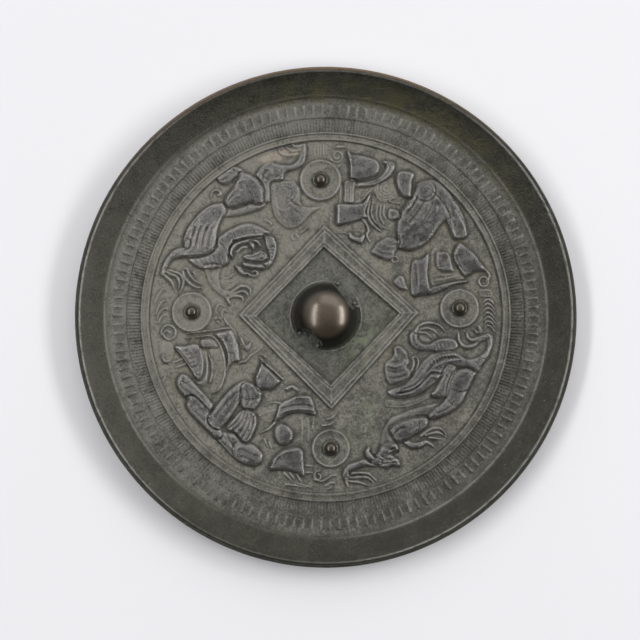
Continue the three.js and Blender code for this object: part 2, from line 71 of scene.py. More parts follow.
camera_data = bpy.data.cameras.new("camera")
camera = bpy.data.objects.new("camera", camera_data)
bpy.context.scene.collection.objects.link(camera)
bpy.context.scene.camera = camera
camera_data.lens = LENS
camera_data.sensor_width = SENSOR
camera_data.clip_start = 0.01
camera_data.clip_end = 20
distance_away = VIEW_WIDTH * LENS / SENSOR
camera_spot = (
    AIM[0],
    AIM[1] - distance_away * math.cos(STEEPNESS),
    AIM[2] + distance_away * math.sin(STEEPNESS),
)
camera.location = placed(camera_spot)
camera.rotation_euler = (math.pi / 2 - STEEPNESS, 0, -SLANT)
print("camera", round(distance_away * MM, 3), "m away")

# %% [markdown]
# ## Tools used for every solid
# Before an operator runs, everything is deselected, because it acts on all that is selected. A turned
# piece starts as one point of a primitive. The point is moved to the start of the profile, extruded
# from place to place, and spun round the middle, as a founder turns a pattern on a wheel.

# %% Helpers for selecting, turning and joining
def alone(piece):
    bpy.ops.object.select_all(action="DESELECT")
    piece.select_set(True)
    bpy.context.view_layer.objects.active = piece


def count(piece):
    piece.data.calc_loop_triangles()
    return len(piece.data.loop_triangles)


def coordinates(piece):
    flat = np.empty(len(piece.data.vertices) * 3)
    piece.data.vertices.foreach_get("co", flat)
    return flat.reshape(-1, 3)


def set_coordinates(piece, points):
    piece.data.vertices.foreach_set("co", points.ravel())
    piece.data.update()


def turned_piece(name, profile, steps, closed_ring=False):
    """A solid turned from a profile of (radius, height) pairs in millimetres."""
    bpy.ops.object.select_all(action="DESELECT")
    bpy.ops.mesh.primitive_plane_add(size=MM, location=(0, 0, 0))
    piece = bpy.context.object
    piece.name = name
    bpy.ops.object.mode_set(mode="EDIT")
    bpy.ops.mesh.select_mode(type="VERT")
    bpy.ops.mesh.select_all(action="SELECT")
    bpy.ops.mesh.merge(type="CENTER")
    radius, height = profile[0]
    bpy.ops.transform.translate(value=(radius * MM, 0, height * MM))
    for (r0, z0), (r1, z1) in zip(profile, profile[1:]):
        step = ((r1 - r0) * MM, 0, (z1 - z0) * MM)
        bpy.ops.mesh.extrude_region_move(TRANSFORM_OT_translate={"value": step})
    bpy.ops.mesh.select_all(action="SELECT")
    if closed_ring:
        bpy.ops.mesh.remove_doubles(threshold=1e-7)
    bpy.ops.mesh.spin(steps=steps, angle=2 * math.pi, center=(0, 0, 0), axis=(0, 0, 1))
    bpy.ops.mesh.select_all(action="SELECT")
    bpy.ops.mesh.remove_doubles(threshold=1e-6)
    bpy.ops.mesh.normals_make_consistent(inside=False)
    bpy.ops.object.mode_set(mode="OBJECT")
    return piece


def combine(piece, other, operation="UNION"):
    alone(piece)
    modifier = piece.modifiers.new("join", "BOOLEAN")
    modifier.object = other
    modifier.operation = operation
    modifier.solver = "MANIFOLD"
    bpy.ops.object.modifier_apply(modifier=modifier.name)
    bpy.data.objects.remove(other)


# %% [markdown]
# ## The plate and its rim
# The rim of such a mirror is thick and smooth. It slopes down and inward from a narrow lip to a bright
# fillet line. The polished face below is gently convex, so the plate touches the ground only in the
# middle. One turned profile gives all of this.

# %% Plate and rim
FIELD = 3.6
OUTER = 99.85
RIM_STEPS = 288

PLATE_PROFILE = [
    (0, 0),
    (30, 0),
    (98.4, 2.2),
    (99.3, 2.7),
    (OUTER, 3.8),
    (OUTER, 8.2),
    (99.75, 9.0),
    (99.5, 9.55),
    (99.15, 9.85),
    (98.85, 9.85),
    (98.6, 9.75),
    (98.35, 10.1),
    (98.05, 10.35),
    (97.7, 10.3),
    (97.35, 10.0),
    (97.1, 9.75),
    (93, 7.6),
    (89.6, 5.95),
    (89.0, 5.75),
    (88.6, 5.7),
    (88.2, 5.5),
    (87.8, 5.2),
    (85.6, 4.9),
    (78, 4.2),
    (72, 3.0),
    (70, 2.6),
    (0, 2.6),
]
casting = turned_piece("bronze_mirror", PLATE_PROFILE, RIM_STEPS)
print("plate and rim:", count(casting), "triangles")

# %% [markdown]
# ## The relief sheet
# The figures are far too fine and soft for boxes and cylinders. A maker would press them into a clay
# mould with small tools, so here they are pressed into a sheet: a grid of heights over the field. A
# body is an outline that swells to a rounded top. A limb is a bar along a curved line. Feathers, folds
# and claws are fine ridges or cuts. The points that lead these lines are listed one by one.

# %% The relief sheet and its tools
SHEET_STEP = 0.25
SHEET_HALF = 71.5
axis = np.arange(-SHEET_HALF, SHEET_HALF + SHEET_STEP / 2, SHEET_STEP)
SHEET_X, SHEET_Y = np.meshgrid(axis, axis)
relief = np.zeros_like(SHEET_X)

HIGH = 1.7
MID = 1.3
LOW = 0.8


def curve(points, closed=False, pieces=6):
    """A smooth line through given points."""
    p = np.array(points, float)
    if len(p) == 2:
        return p
    if closed:
        p = np.vstack([p[-1], p, p[0], p[1]])
    else:
        p = np.vstack([2 * p[0] - p[1], p, 2 * p[-1] - p[-2]])
    t = np.linspace(0, 1, pieces, endpoint=False)[:, None]
    line = []
    for a, b, c, d in zip(p[:-3], p[1:-2], p[2:-1], p[3:]):
        bend = 2 * a - 5 * b + 4 * c - d + t * (3 * (b - c) + d - a)
        line.append(b + 0.5 * t * (c - a + t * bend))
    line = np.vstack(line)
    return np.vstack([line, line[0]]) if closed else np.vstack([line, p[-2]])


def window(line, margin):
    low = np.searchsorted(axis, line.min(axis=0) - margin)
    high = np.searchsorted(axis, line.max(axis=0) + margin)
    return slice(low[1], high[1]), slice(low[0], high[0])


def distance(line, spot):
    """How far each point of the sheet is from the line, and where along it, from 0 to 1."""
    x, y = SHEET_X[spot][..., None], SHEET_Y[spot][..., None]
    a, d = line[:-1], np.diff(line, axis=0)
    square = np.maximum((d**2).sum(axis=1), 1e-9)
    t = np.clip(((x - a[:, 0]) * d[:, 0] + (y - a[:, 1]) * d[:, 1]) / square, 0, 1)
    gap = np.hypot(x - a[:, 0] - t * d[:, 0], y - a[:, 1] - t * d[:, 1])
    near = gap.argmin(axis=-1)[..., None]
    run = np.sqrt(square)
    start = np.concatenate([[0], np.cumsum(run)[:-1]])
    along = (start[near] + np.take_along_axis(t, near, -1) * run[near]) / run.sum()
    return np.take_along_axis(gap, near, -1)[..., 0], along[..., 0]


def inside(line, spot):
    x, y = SHEET_X[spot][..., None], SHEET_Y[spot][..., None]
    a, b = line[:-1], line[1:]
    crosses = (a[:, 1] > y) != (b[:, 1] > y)
    rise = np.where(b[:, 1] == a[:, 1], 1e-9, b[:, 1] - a[:, 1])
    at = a[:, 0] + (y - a[:, 1]) * (b[:, 0] - a[:, 0]) / rise
    return (crosses & (x < at)).sum(axis=-1) % 2 == 1


def swell(depth, edge):
    """Height from 0 to 1: a steep wall at the outline, then a round shoulder as broad as edge."""
    wall = np.clip((depth + 0.25) / 0.65, 0, 1)
    shoulder = np.sin(np.clip(depth / edge, 0, 1) * math.pi / 2)
    return 0.5 * wall * wall * (3 - 2 * wall) + 0.5 * shoulder


def press(spot, form, depth, moat):
    """Sets a form on the sheet, with a narrow moat round it where it lies over another."""
    trench = np.exp(-(((depth + 0.45) / 0.4) ** 2)) * (depth < 0)
    relief[spot] *= 1 - moat * trench
    relief[spot] = np.maximum(relief[spot], form)


def mass(outline, height=HIGH, edge=1.6, crown=0.2, moat=0.6):
    """A body: an outline that swells to a gently crowned top."""
    line = curve(outline, closed=True)
    spot = window(line, 2)
    gap, _ = distance(line, spot)
    depth = np.where(inside(line, spot), gap, -gap)
    broad = max(depth.max(), edge)
    form = height * ((1 - crown) * swell(depth, 0.72 * edge) + crown * swell(depth, broad))
    press(spot, form, depth, moat)


def bar(points, widths, height=MID, moat=0.5):
    """A rounded bar along a curved line. Its width may change along the way."""
    line = curve(points)
    widths = np.atleast_1d(np.array(widths, float))
    spot = window(line, widths.max() / 2 + 2)
    gap, along = distance(line, spot)
    half = np.interp(along, np.linspace(0, 1, len(widths)), widths) / 2
    depth = half - gap
    press(spot, height * swell(depth, np.maximum(half, 0.5)), depth, moat)


def cut(points, width=0.7, depth=0.5):
    """An engraved line."""
    line = curve(points)
    spot = window(line, width * 2)
    gap, _ = distance(line, spot)
    relief[spot] -= depth * np.exp(-((gap / (width * 0.5)) ** 2))


def ridge(points, width=0.9, height=0.45):
    """A fine raised line on whatever lies below it."""
    line = curve(points)
    spot = window(line, width * 2)
    gap, _ = distance(line, spot)
    relief[spot] += height * np.exp(-((gap / (width * 0.5)) ** 2))


def arc(middle, radius, start, stop, pieces=8):
    turn = np.radians(np.linspace(start, stop, pieces + 1))
    return [(middle[0] + radius * math.cos(t), middle[1] + radius * math.sin(t)) for t in turn]


def coil(middle, radius, turns, start, width=0.9, height=LOW):
    """A small spiral."""
    part = np.linspace(0, 1, int(8 * abs(turns)) + 2)
    turn = math.radians(start) + 2 * math.pi * turns * part
    reach = radius * (1 - 0.75 * part)
    points = np.stack([middle[0] + reach * np.cos(turn), middle[1] + reach * np.sin(turn)], 1)
    bar(points, width, height, moat=0.3)


def arcs(middle, radii, start, stop, width=0.9, height=LOW):
    """Nested arcs, as clouds and feathers are drawn."""
    for radius in radii:
        bar(arc(middle, radius, start, stop), [width, width, width * 0.6], height, moat=0.3)


def fan(first, second, number, tool=cut, **size):
    """Even strokes that join two leading lines, for pleats, feathers and fur."""
    def at(line, part):
        run = np.concatenate([[0], np.cumsum(np.hypot(*np.diff(line, axis=0).T))])
        return [np.interp(part * run[-1], run, line[:, k]) for k in (0, 1)]

    a, b = curve(first), curve(second)
    for i in range(number):
        part = (i + 0.5) / number
        tool([at(a, part), at(b, part)], **size)


def hollow_out(middle, wide, tall, lean, depth):
    """A soft oval hollow, such as the mouth of a sleeve."""
    turn = math.radians(lean)
    x, y = SHEET_X - middle[0], SHEET_Y - middle[1]
    across = x * math.cos(turn) + y * math.sin(turn)
    along = y * math.cos(turn) - x * math.sin(turn)
    reach = (across / wide) ** 2 + (along / tall) ** 2
    relief[...] -= depth * np.exp(-(reach**2))


def uneven(cell, seed):
    """Smooth random unevenness from -1 to 1, with bumps about as wide as cell."""
    lattice = np.random.RandomState(seed).uniform(-1, 1, (int(2 * SHEET_HALF / cell) + 4,) * 2)
    place = (axis + SHEET_HALF) / cell
    whole = place.astype(int)
    t = place - whole
    t = t * t * (3 - 2 * t)
    rows = lattice[whole] * (1 - t[:, None]) + lattice[whole + 1] * t[:, None]
    return rows[:, whole] * (1 - t) + rows[:, whole + 1] * t


print("sheet:", relief.shape, "points,", SHEET_STEP, "mm apart")

# %% [markdown]
# ## The square and the seats
# A square band frames the middle. It is bounded outside and inside by two fine lines, with a mitre line
# at each corner. The casting isn't quite true, so its corners are given one by one.

# %% The square
SQUARE_OUTER = [(-0.5, 36.7), (37.4, 1.4), (2.3, -37.6), (-35.1, 0.3)]
SQUARE_INNER = [(-0.8, 27.8), (29.5, 1.1), (2.0, -27.7), (-27.8, -0.2)]


def depth_in(corners):
    """How deep each point of the sheet lies inside a convex outline that runs clockwise."""
    depth = np.full_like(SHEET_X, 1e3)
    for (x0, y0), (x1, y1) in zip(corners, corners[1:] + corners[:1]):
        length = math.hypot(x1 - x0, y1 - y0)
        side = ((y1 - y0) * (SHEET_X - x0) - (x1 - x0) * (SHEET_Y - y0)) / length
        depth = np.minimum(depth, side)
    return depth


def square():
    outer, inner = depth_in(SQUARE_OUTER), depth_in(SQUARE_INNER)
    band = 0.45 * np.clip((outer + 0.1) / 0.5, 0, 1) * np.clip((-inner + 0.3) / 0.5, 0, 1)
    for line, place in ((0.45, 0.5), (0.4, 2.0)):
        band += line * np.exp(-(((outer - place) / 0.42) ** 2))
    for line, place in ((0.45, -0.2), (0.35, -1.5)):
        band += line * np.exp(-(((inner - place) / 0.42) ** 2))
    relief[...] = np.maximum(relief, band)
    for (x0, y0), (x1, y1) in zip(SQUARE_OUTER, SQUARE_INNER):
        ridge([(x0 + (x1 - x0) * 0.2, y0 + (y1 - y0) * 0.2), (x1, y1)], 0.7, 0.25)


square()

# %% Seats of the nipples
NIPPLES = [(-2.1, 54.7), (53.6, 3.0), (2.0, -52.9), (-53.7, 1.5)]
SEATS = [8.6, 8.1, 7.9, 8.3]


def seat(middle, radius):
    gap = np.hypot(SHEET_X - middle[0], SHEET_Y - middle[1])
    form = 0.55 * np.clip((radius - gap) / 0.6, 0, 1)
    form += 0.35 * np.exp(-(((gap - radius + 0.7) / 0.45) ** 2))
    form -= 0.4 * np.exp(-(((gap - 3.1) / 0.6) ** 2))
    relief[...] = np.where(gap < radius + 0.2, np.maximum(form, 0), relief)


def knob_seat():
    """A faint raised line round the knob, and the flash left at the ends of its two mouths."""
    ridge(arc((0, 0), 14.2, 95, 215, 12), 0.7, 0.3)
    ridge(arc((0, 0), 14.2, -80, 30, 12), 0.7, 0.3)
    for x, y, size in ((12.6, 3.6, 1.5), (11.2, 5, 1.1), (4.6, 13, 1.1), (-3.2, -12, 1.4),
                       (-10.4, -6.8, 1.5), (-8, -7, 0.9)):
        bar([(x, y), (x + 0.3, y + 0.2)], size, 0.7, moat=0)


for middle, radius in zip(NIPPLES, SEATS):
    seat(middle, radius)
knob_seat()

# %% [markdown]
# ## Upper left: the tiger
# It strides round the field and looks back with an open mouth. Chest and haunch are the highest bodies,
# and the legs grow out of them without a step. Feathers are shallow ridges, and claws end thin.

# %% The tiger's body
def tiger_body():
    mass([(-56, 24.4), (-53.4, 20.8), (-50, 19), (-46, 18.6), (-42, 19.4), (-39, 21.4), (-39.6, 25),
          (-43, 28), (-48, 26.6), (-52, 25)], MID, moat=0)
    fan([(-53, 22.6), (-42, 24.4)], [(-51.6, 20.2), (-41, 20.6)], 6, cut, width=1.0, depth=0.18)
    mass([(-44.4, 43.6), (-40, 43.4), (-34, 44.8), (-28, 46.6), (-24.6, 47.4), (-24.4, 44.6),
          (-27.4, 42.6), (-32, 41.2), (-36, 40.2), (-41, 39.8), (-43.6, 38.6)], LOW + 0.2, moat=0)
    mass([(-57.3, 28), (-57.2, 31), (-55.5, 35.5), (-53, 39), (-50, 42.3), (-46, 44.9), (-43, 45.6),
          (-41, 45.4), (-40, 42.6), (-41.6, 39), (-42.8, 36), (-43.4, 33), (-43.7, 30), (-44.6, 27.4),
          (-46.2, 25.6), (-49, 24.4), (-53, 23.8), (-57, 24)], HIGH, edge=2.2)
    mass([(-40.7, 46), (-40.1, 48.5), (-38, 51), (-36, 54), (-34, 57.6), (-30, 57), (-26.4, 53.6),
          (-25, 50.6), (-25, 46.8), (-25.6, 45.3), (-27.6, 45.1), (-30, 45.5), (-32.5, 44.8),
          (-36, 43.6), (-39, 43.7)], HIGH, edge=2.2)


def tiger_feathers():
    cut([(-56.1, 28.8), (-55.7, 32), (-54, 35.8), (-51.8, 38.8), (-49, 41.4), (-45.6, 43.8)], 0.7, 0.25)
    for feather in (
        [(-55.6, 27.4), (-54.6, 30), (-54.2, 32.6)],
        [(-53.4, 27.2), (-52.8, 31), (-51.6, 34.6), (-50, 36.6)],
        [(-51, 26.8), (-50.4, 31), (-49, 34.8), (-47, 37)],
        [(-48, 27.8), (-47.6, 31.6), (-46.4, 35), (-44.6, 37.6)],
        [(-46, 27.4), (-45.4, 31.4), (-44.6, 34.6)],
    ):
        ridge(feather, 1.1, 0.3)
    cut([(-54.6, 28.4), (-53.5, 32.4), (-52.4, 35.4)], 0.7, 0.3)
    cut([(-52.2, 28.4), (-51.5, 32.4), (-50.2, 35.4)], 0.7, 0.3)
    cut([(-49.4, 29), (-48.9, 32.6), (-47.4, 35.6)], 0.7, 0.3)
    ridge([(-57, 24.6), (-53, 24.5), (-49, 25.1), (-46.4, 26.5), (-44.8, 28.4), (-44.3, 31)], 0.8, 0.25)
    bar([(-56, 28.2), (-55.8, 29.4)], 2.2, HIGH + 0.25, moat=0.2)
    for line in ([(-39.2, 47), (-37.6, 49.8), (-35.4, 51), (-33.6, 50.2)],
                 [(-38, 46.2), (-36.4, 48), (-34.8, 48.4)],
                 [(-37.4, 52.4), (-35, 54.2), (-32.6, 54.8)]):
        ridge(line, 1.0, 0.25)
    bar([(-46.3, 47.6), (-45.8, 49.6), (-44.3, 50.7), (-42.8, 50.3), (-42.2, 49.2), (-43.2, 48.6)],
        [0.7, 1.1, 1.3], LOW, moat=0)


def tiger_neck():
    mass([(-43.4, 31), (-41.4, 33), (-38.5, 35), (-34, 37), (-30.5, 37.4), (-26, 35.9), (-22.2, 33.4),
          (-21.8, 31.6), (-26, 31), (-32, 30.6), (-36, 29.6), (-38.6, 27), (-39, 24.4), (-41.6, 24.6),
          (-43.4, 27)], MID, moat=0)
    ridge([(-38.9, 25.4), (-39.2, 27.2), (-38, 29.4), (-35.5, 31.1), (-32, 32), (-28, 32.4),
           (-24, 32.6), (-21.6, 32.4)], 0.8, 0.35)
    cut([(-38.2, 26), (-38, 28), (-35.8, 29.9), (-32, 31), (-28, 31.5), (-24, 31.7)], 0.7, 0.5)
    cut([(-42.4, 29.2), (-41.4, 28.3), (-40.6, 27.4)], 0.8, 0.35)
    cut([(-41.6, 30.6), (-40.4, 29.6)], 0.7, 0.25)
    mass([(-24.6, 32.2), (-21.8, 32.4), (-19.9, 30.4), (-19.5, 27), (-20.2, 23.6), (-21.8, 20.6),
          (-24, 18.8), (-27, 18.3), (-30, 18.9), (-33, 19.6), (-33.4, 21.2), (-31, 22), (-28, 21.4),
          (-25.2, 21.8), (-23.4, 23.6), (-23.2, 26), (-24.4, 28.6)], MID + 0.1)
    fan([(-20.4, 28.6), (-21.8, 21.4)], [(-22.6, 28), (-23.6, 22.6)], 5, cut, width=0.7, depth=0.22)


def tiger_face():
    relief[window(np.array([(-37.4, 23.2), (-24, 30.6)]), 0)] *= 0.45
    bar([(-37.6, 23.8), (-38, 26), (-36.4, 28.3), (-33.4, 29.6), (-30, 30.2), (-27.4, 29.8),
         (-26.2, 28)], [1.2, 2.0, 1.9, 1.6, 1.0], MID, moat=0)
    bar([(-35.4, 25.8), (-33.6, 27.4), (-31.6, 27.6)], [1.4, 1.3, 0.9], LOW, moat=0)
    mass([(-30.8, 29.4), (-28.6, 29.2), (-28.4, 27.6), (-28.7, 25.4), (-29.6, 26.8)], HIGH + 0.1, edge=0.9)
    mass([(-33.2, 23.4), (-32, 24.8), (-29.6, 25), (-28, 26), (-26, 26.4), (-23.8, 25.3),
          (-23.2, 23.2), (-25, 21.8), (-28, 21.6), (-31, 22.2)], MID)
    cut(arc((-25.7, 24), 1.2, 0, 360), 0.6, 0.3)
    cut([(-32, 23.6), (-29.6, 23.5), (-27.6, 24.4)], 0.6, 0.3)
    mass([(-33.2, 21.8), (-30, 21.2), (-27, 20.8), (-25, 20.2), (-25, 18.9), (-28, 18.5), (-31, 19),
          (-33.3, 19.6)], HIGH)
    mass([(-36.6, 20.6), (-35, 20.2), (-33.6, 19.6), (-32.6, 18), (-31, 17.4), (-31.8, 16.2),
          (-33.6, 16.4), (-35.2, 17.8)], MID, edge=1)
    bar([(-31.4, 17.2), (-30.2, 16.3), (-28.4, 16), (-27.4, 17), (-28.2, 18.2), (-29.4, 17.8)],
        [1.1, 1.2, 0.9], LOW, moat=0)


def tiger_forelegs():
    mass([(-56, 27.6), (-58.6, 27.6), (-61.5, 26.3), (-64, 23.5), (-65.3, 21), (-66.1, 18.4),
          (-66.2, 16.2), (-64.8, 16.2), (-63.7, 18.8), (-62.5, 21.4), (-60.4, 23), (-56, 24)],
         MID, moat=0)
    for claw in (
        [(-65.4, 17.2), (-63.8, 15.6), (-62.2, 14.2), (-61.2, 12.4), (-61, 10.6)],
        [(-64.4, 18), (-62, 16.8), (-59.8, 15.9), (-58.7, 13.6), (-59, 10.8)],
        [(-63.2, 18.4), (-60.4, 17.6), (-58, 16.4), (-57, 14), (-57.6, 11.4), (-59, 9)],
    ):
        bar(claw, [1.3, 1.4, 1.3, 0.6], LOW, moat=0.2)
    mass([(-48.4, 20), (-48.2, 17), (-47, 13.6), (-44.6, 10.2), (-41.4, 7.8), (-39.2, 6.6),
          (-37.4, 8), (-38.4, 10), (-41, 10.6), (-42.4, 12.6), (-42.8, 16), (-42.4, 20)],
         0.55, edge=1, moat=0.25)
    cut([(-46.4, 18.4), (-45.6, 14.6), (-43.2, 11.6)], 0.6, 0.15)
    for x, y in ((-38.6, 16.2), (-38, 14.6), (-37.2, 13.2), (-38.4, 11.9)):
        bar([(x - 1.6, y - 1), (x + 0.4, y - 0.4), (x + 1.6, y + 0.8)], 0.7, 0.3, moat=0)
    for claw in (
        [(-38.6, 8.9), (-36.4, 10.4), (-34.2, 11.9), (-31.8, 11.8), (-30.2, 10.4), (-30.4, 8.8)],
        [(-38.2, 8.4), (-35.4, 9.4), (-33.2, 9.9), (-31.6, 9), (-31.2, 7.4)],
        [(-39.6, 7.2), (-37, 8), (-34.4, 7.9), (-33.2, 6.8), (-33.4, 5.2)],
        [(-39.6, 7), (-39, 5.8), (-38.6, 4.6)],
    ):
        bar(claw, [1.4, 1.4, 1.3, 0.6], LOW, moat=0.2)


def tiger_hindlegs():
    mass([(-43.6, 56.8), (-41.4, 59.3), (-38, 60.5), (-35, 60), (-32.4, 58), (-29.6, 54.8),
          (-31.4, 52), (-33.8, 52.6), (-34.4, 55.2), (-35.8, 56.3), (-38, 54.2), (-40, 52.9),
          (-42.2, 53.4), (-43.8, 55)], MID, moat=0)
    for line in ([(-42.4, 56), (-40, 57.8), (-37.6, 57.4)], [(-41.6, 54.6), (-39.4, 55.6)],
                 [(-39.6, 59), (-37, 58.8), (-34.6, 57)]):
        cut(line, 0.8, 0.25)
    mass([(-30, 55), (-28, 57.5), (-26, 60.5), (-24, 62), (-22.2, 62.3), (-19, 61.4), (-15, 61),
          (-13, 61.6), (-11.4, 63), (-10.8, 65), (-11.6, 67), (-10.6, 69.2), (-8, 69.3), (-7.7, 65),
          (-8.4, 62), (-10.2, 60), (-12.5, 58.8), (-15.2, 58.2), (-16.5, 57.2), (-17, 55),
          (-18.6, 54), (-21, 54.2), (-22.4, 52.6), (-22.2, 49), (-22.4, 46), (-24.6, 46),
          (-25.2, 49.6), (-26.4, 53)], MID, moat=0.2)
    ridge([(-26.4, 53), (-26, 56.4), (-24.6, 59), (-22.4, 59), (-21.4, 57.2)], 1.0, 0.3)
    ridge([(-24, 54.4), (-23.8, 56.6), (-22.6, 57.4)], 0.9, 0.25)
    cut([(-20.4, 55.6), (-18.6, 56.8), (-17.8, 58.6)], 0.7, 0.25)
    cut([(-23.8, 52.6), (-23.6, 49.6), (-23.6, 46.6)], 0.7, 0.3)
    for claw in (
        [(-19, 68), (-18.4, 66), (-17, 64.9), (-14.5, 64.7), (-11.4, 65.4)],
        [(-16.6, 69), (-15, 67.3), (-12.8, 66.4), (-10.4, 67)],
        [(-14, 69.6), (-12.4, 68.4), (-10, 68.6)],
    ):
        bar(claw, [0.6, 1.3, 1.4, 1.2], LOW + 0.1, moat=0.2)


def tiger_ground():
    bar([(-57.3, 18), (-56.6, 15.6), (-54.6, 13.2), (-52, 11.6), (-49.4, 11.2)],
        [1.0, 1.5, 0.8], LOW, moat=0)
    bar([(-57, 18.8), (-55.6, 19), (-54.6, 16.6), (-52.4, 14), (-49.8, 12.6)], [1.0, 1.0, 0.7], LOW, moat=0)
    bar([(-53.4, 17.6), (-52.4, 16.8), (-53, 15.8), (-54, 16.4)], 0.8, LOW, moat=0)
    bar([(-10.4, 33.2), (-8.4, 34.6), (-7, 36)], 0.9, LOW, moat=0)
    arcs((-12.5, 31.8), [1.2], 0, 300, 0.8, 0.5)
    bar([(-24.6, 38.6), (-23, 38), (-21.8, 37)], 0.9, 0.5, moat=0)


tiger_hindlegs()
tiger_body()
tiger_feathers()
tiger_neck()
tiger_face()
tiger_forelegs()
tiger_ground()
print("tiger:", round(relief.max(), 2), "mm at its highest")

# %% [markdown]
# ## Top: clouds and an attendant
# A broad low cloud carries nested arcs. The attendant leans toward the seated lord, with a broad back,
# a square apron and a streamer that curls away behind.

# %% Clouds and the upper attendant
def upper_clouds():
    mass([(-21.6, 53.4), (-22.4, 50), (-21.9, 46), (-21.4, 43), (-20.5, 40), (-19, 37.8), (-17, 36),
          (-14.5, 35.2), (-12, 35.7), (-10, 36.8), (-8, 38.8), (-6.5, 40.5), (-4.5, 42.3), (-2.2, 43.6),
          (-5.4, 43.9), (-8.4, 44), (-10.2, 46), (-10.2, 49), (-10.8, 52), (-13, 54.2), (-17, 54.4)],
         LOW + 0.1, edge=3, moat=0.2)
    for radius in (1.4, 2.7, 4.0, 5.3):
        ridge(arc((-16.5, 50), radius, -70, 110), 0.9, 0.22)
    ridge(arc((-17, 44.8), 2.6, 150, 330), 0.9, 0.2)
    ridge([(-19.8, 47.4), (-19.4, 43), (-18, 39.6), (-15.4, 37.4)], 0.9, 0.2)
    ridge([(-13.6, 44.6), (-11.4, 43), (-9.4, 42)], 0.8, 0.18)
    cut([(-14, 46.6), (-12, 44.8), (-9.6, 44.4)], 0.8, 0.3)
    fan([(-5, 65), (0.8, 65.4)], [(-4.8, 68.6), (0.8, 68.8)], 5, bar, widths=0.7, height=0.35, moat=0)
    coil((4.6, 64.4), 2.8, 1.4, 200, 0.8, 0.55)
    mass([(2.6, 67.6), (4.6, 68.8), (6.6, 68.9), (8.3, 67.9), (6.4, 67.5), (4.4, 67.6)], LOW, edge=0.8)
    bar([(3, 61.6), (4.6, 60.4), (5.6, 60.8)], 0.8, 0.4, moat=0)


def upper_attendant():
    mass([(12, 51.9), (14, 52), (18, 52.2), (21, 53), (24, 54.4), (26, 56.3), (27.8, 59), (28.1, 60.9),
          (27, 62.2), (25, 62.6), (23, 62.6), (23.2, 61.4), (24.2, 60.6), (23.8, 59), (22.5, 56.9),
          (20, 55.2), (16, 54), (12, 53.7)], MID, moat=0)
    cut([(13.6, 53), (18, 53.3), (21.6, 54.6), (24.4, 57), (25.8, 59.6), (25, 61.4)], 0.7, 0.35)
    mass([(8.3, 65.7), (9.3, 67), (10.5, 65.4), (14, 65), (18, 64), (20.5, 62.8), (21.8, 61),
          (22, 59.5), (21.3, 57.5), (19, 55.9), (15, 54.7), (12, 54), (9.9, 54), (9.5, 57),
          (9.6, 60), (8.9, 62.8)], HIGH, edge=2, moat=0.5)
    ridge([(9.4, 65.8), (10, 62), (10.2, 58), (10.2, 55)], 0.8, 0.25)
    mass([(7.6, 54.2), (11.8, 54.2), (11.4, 50), (11, 45.8), (7.4, 45.8), (7.4, 50)], LOW + 0.1, edge=0.9)
    for place in (8.3, 9.4, 10.4):
        cut([(place + 0.2, 53.4), (place, 50), (place, 46.4)], 0.6, 0.3)
    bar([(6.2, 54.8), (5.9, 50), (5.6, 45.4)], [0.7, 0.9, 0.9], 0.5, moat=0)
    mass([(4.3, 45), (4.1, 41), (4, 38), (4.3, 36.4), (8, 37.1), (12, 38), (15, 39.1), (16.8, 39.9),
          (16.2, 42), (17, 44.6), (18, 47.5), (18.8, 50.4), (16.8, 48), (15.2, 45.8), (13, 45.2),
          (10, 45.1), (7, 45.2)], MID + 0.1, edge=1.3, moat=0.4)
    ridge([(5, 44), (5, 40.6), (4.9, 37.6)], 0.8, 0.3)
    ridge([(9.8, 45.8), (12.6, 45.9), (15, 47), (17, 49.4), (18.8, 51.6)], 0.8, 0.35)
    bar([(17.6, 46), (16.9, 42), (17.3, 39.4), (19, 36.7), (22, 34)], [1.3, 1.3, 0.9], LOW, moat=0)
    bar([(18.9, 45.6), (18.3, 42), (18.7, 39.9), (20.2, 37.6), (22.4, 35.4)], 0.8, LOW - 0.2, moat=0)
    bar([(15, 38.8), (16.6, 36.4), (17.2, 34.2), (16.5, 32.5), (17.6, 29.8)], [1.4, 1.3, 0.8], LOW, moat=0)
    mass([(11, 37.4), (15, 38.6), (15.8, 36), (15.2, 33.4), (13.4, 33.8), (11.4, 34.6)], 0.4, moat=0)


def upper_marks():
    mass([(8.8, 33.4), (10.2, 33.6), (11.4, 32.2), (13.6, 31.8), (14.8, 33), (16, 32.4), (15.4, 30.6),
          (14.4, 29.1), (12, 29.7), (10, 30.8), (9.2, 32)], MID, edge=1)
    bar([(6.2, 33.5), (7.6, 33.4), (9, 32.8)], 0.9, 0.5, moat=0)
    mass(arc((24.4, 51.2), 4.9, 60, 380, 10), 0.35, moat=0)
    for radius in (1.1, 2.4, 3.7, 4.8):
        ridge(arc((24.4, 51.4), radius, 100, 300), 0.8, 0.3)
    bar([(20.6, 48), (22.3, 46.4), (24.4, 46.2)], 0.8, 0.5, moat=0)
    for line in ([(20.7, 44.4), (20.4, 40), (21.6, 37), (24, 35.3)],
                 [(22, 44.4), (21.8, 40.4), (23.2, 37.2)],
                 [(23.5, 44.4), (23.2, 41.4), (24, 39.4)]):
        bar(line, 0.8, 0.5, moat=0)


upper_clouds()
upper_marks()
upper_attendant()

# %% [markdown]
# ## Upper right: the seated lord
# A wide robe fills the space. Its folds fall from the shoulder to the knee, and one sleeve hangs out
# over the mat. The head is a plain egg: on such mirrors a face is only a smooth lump.

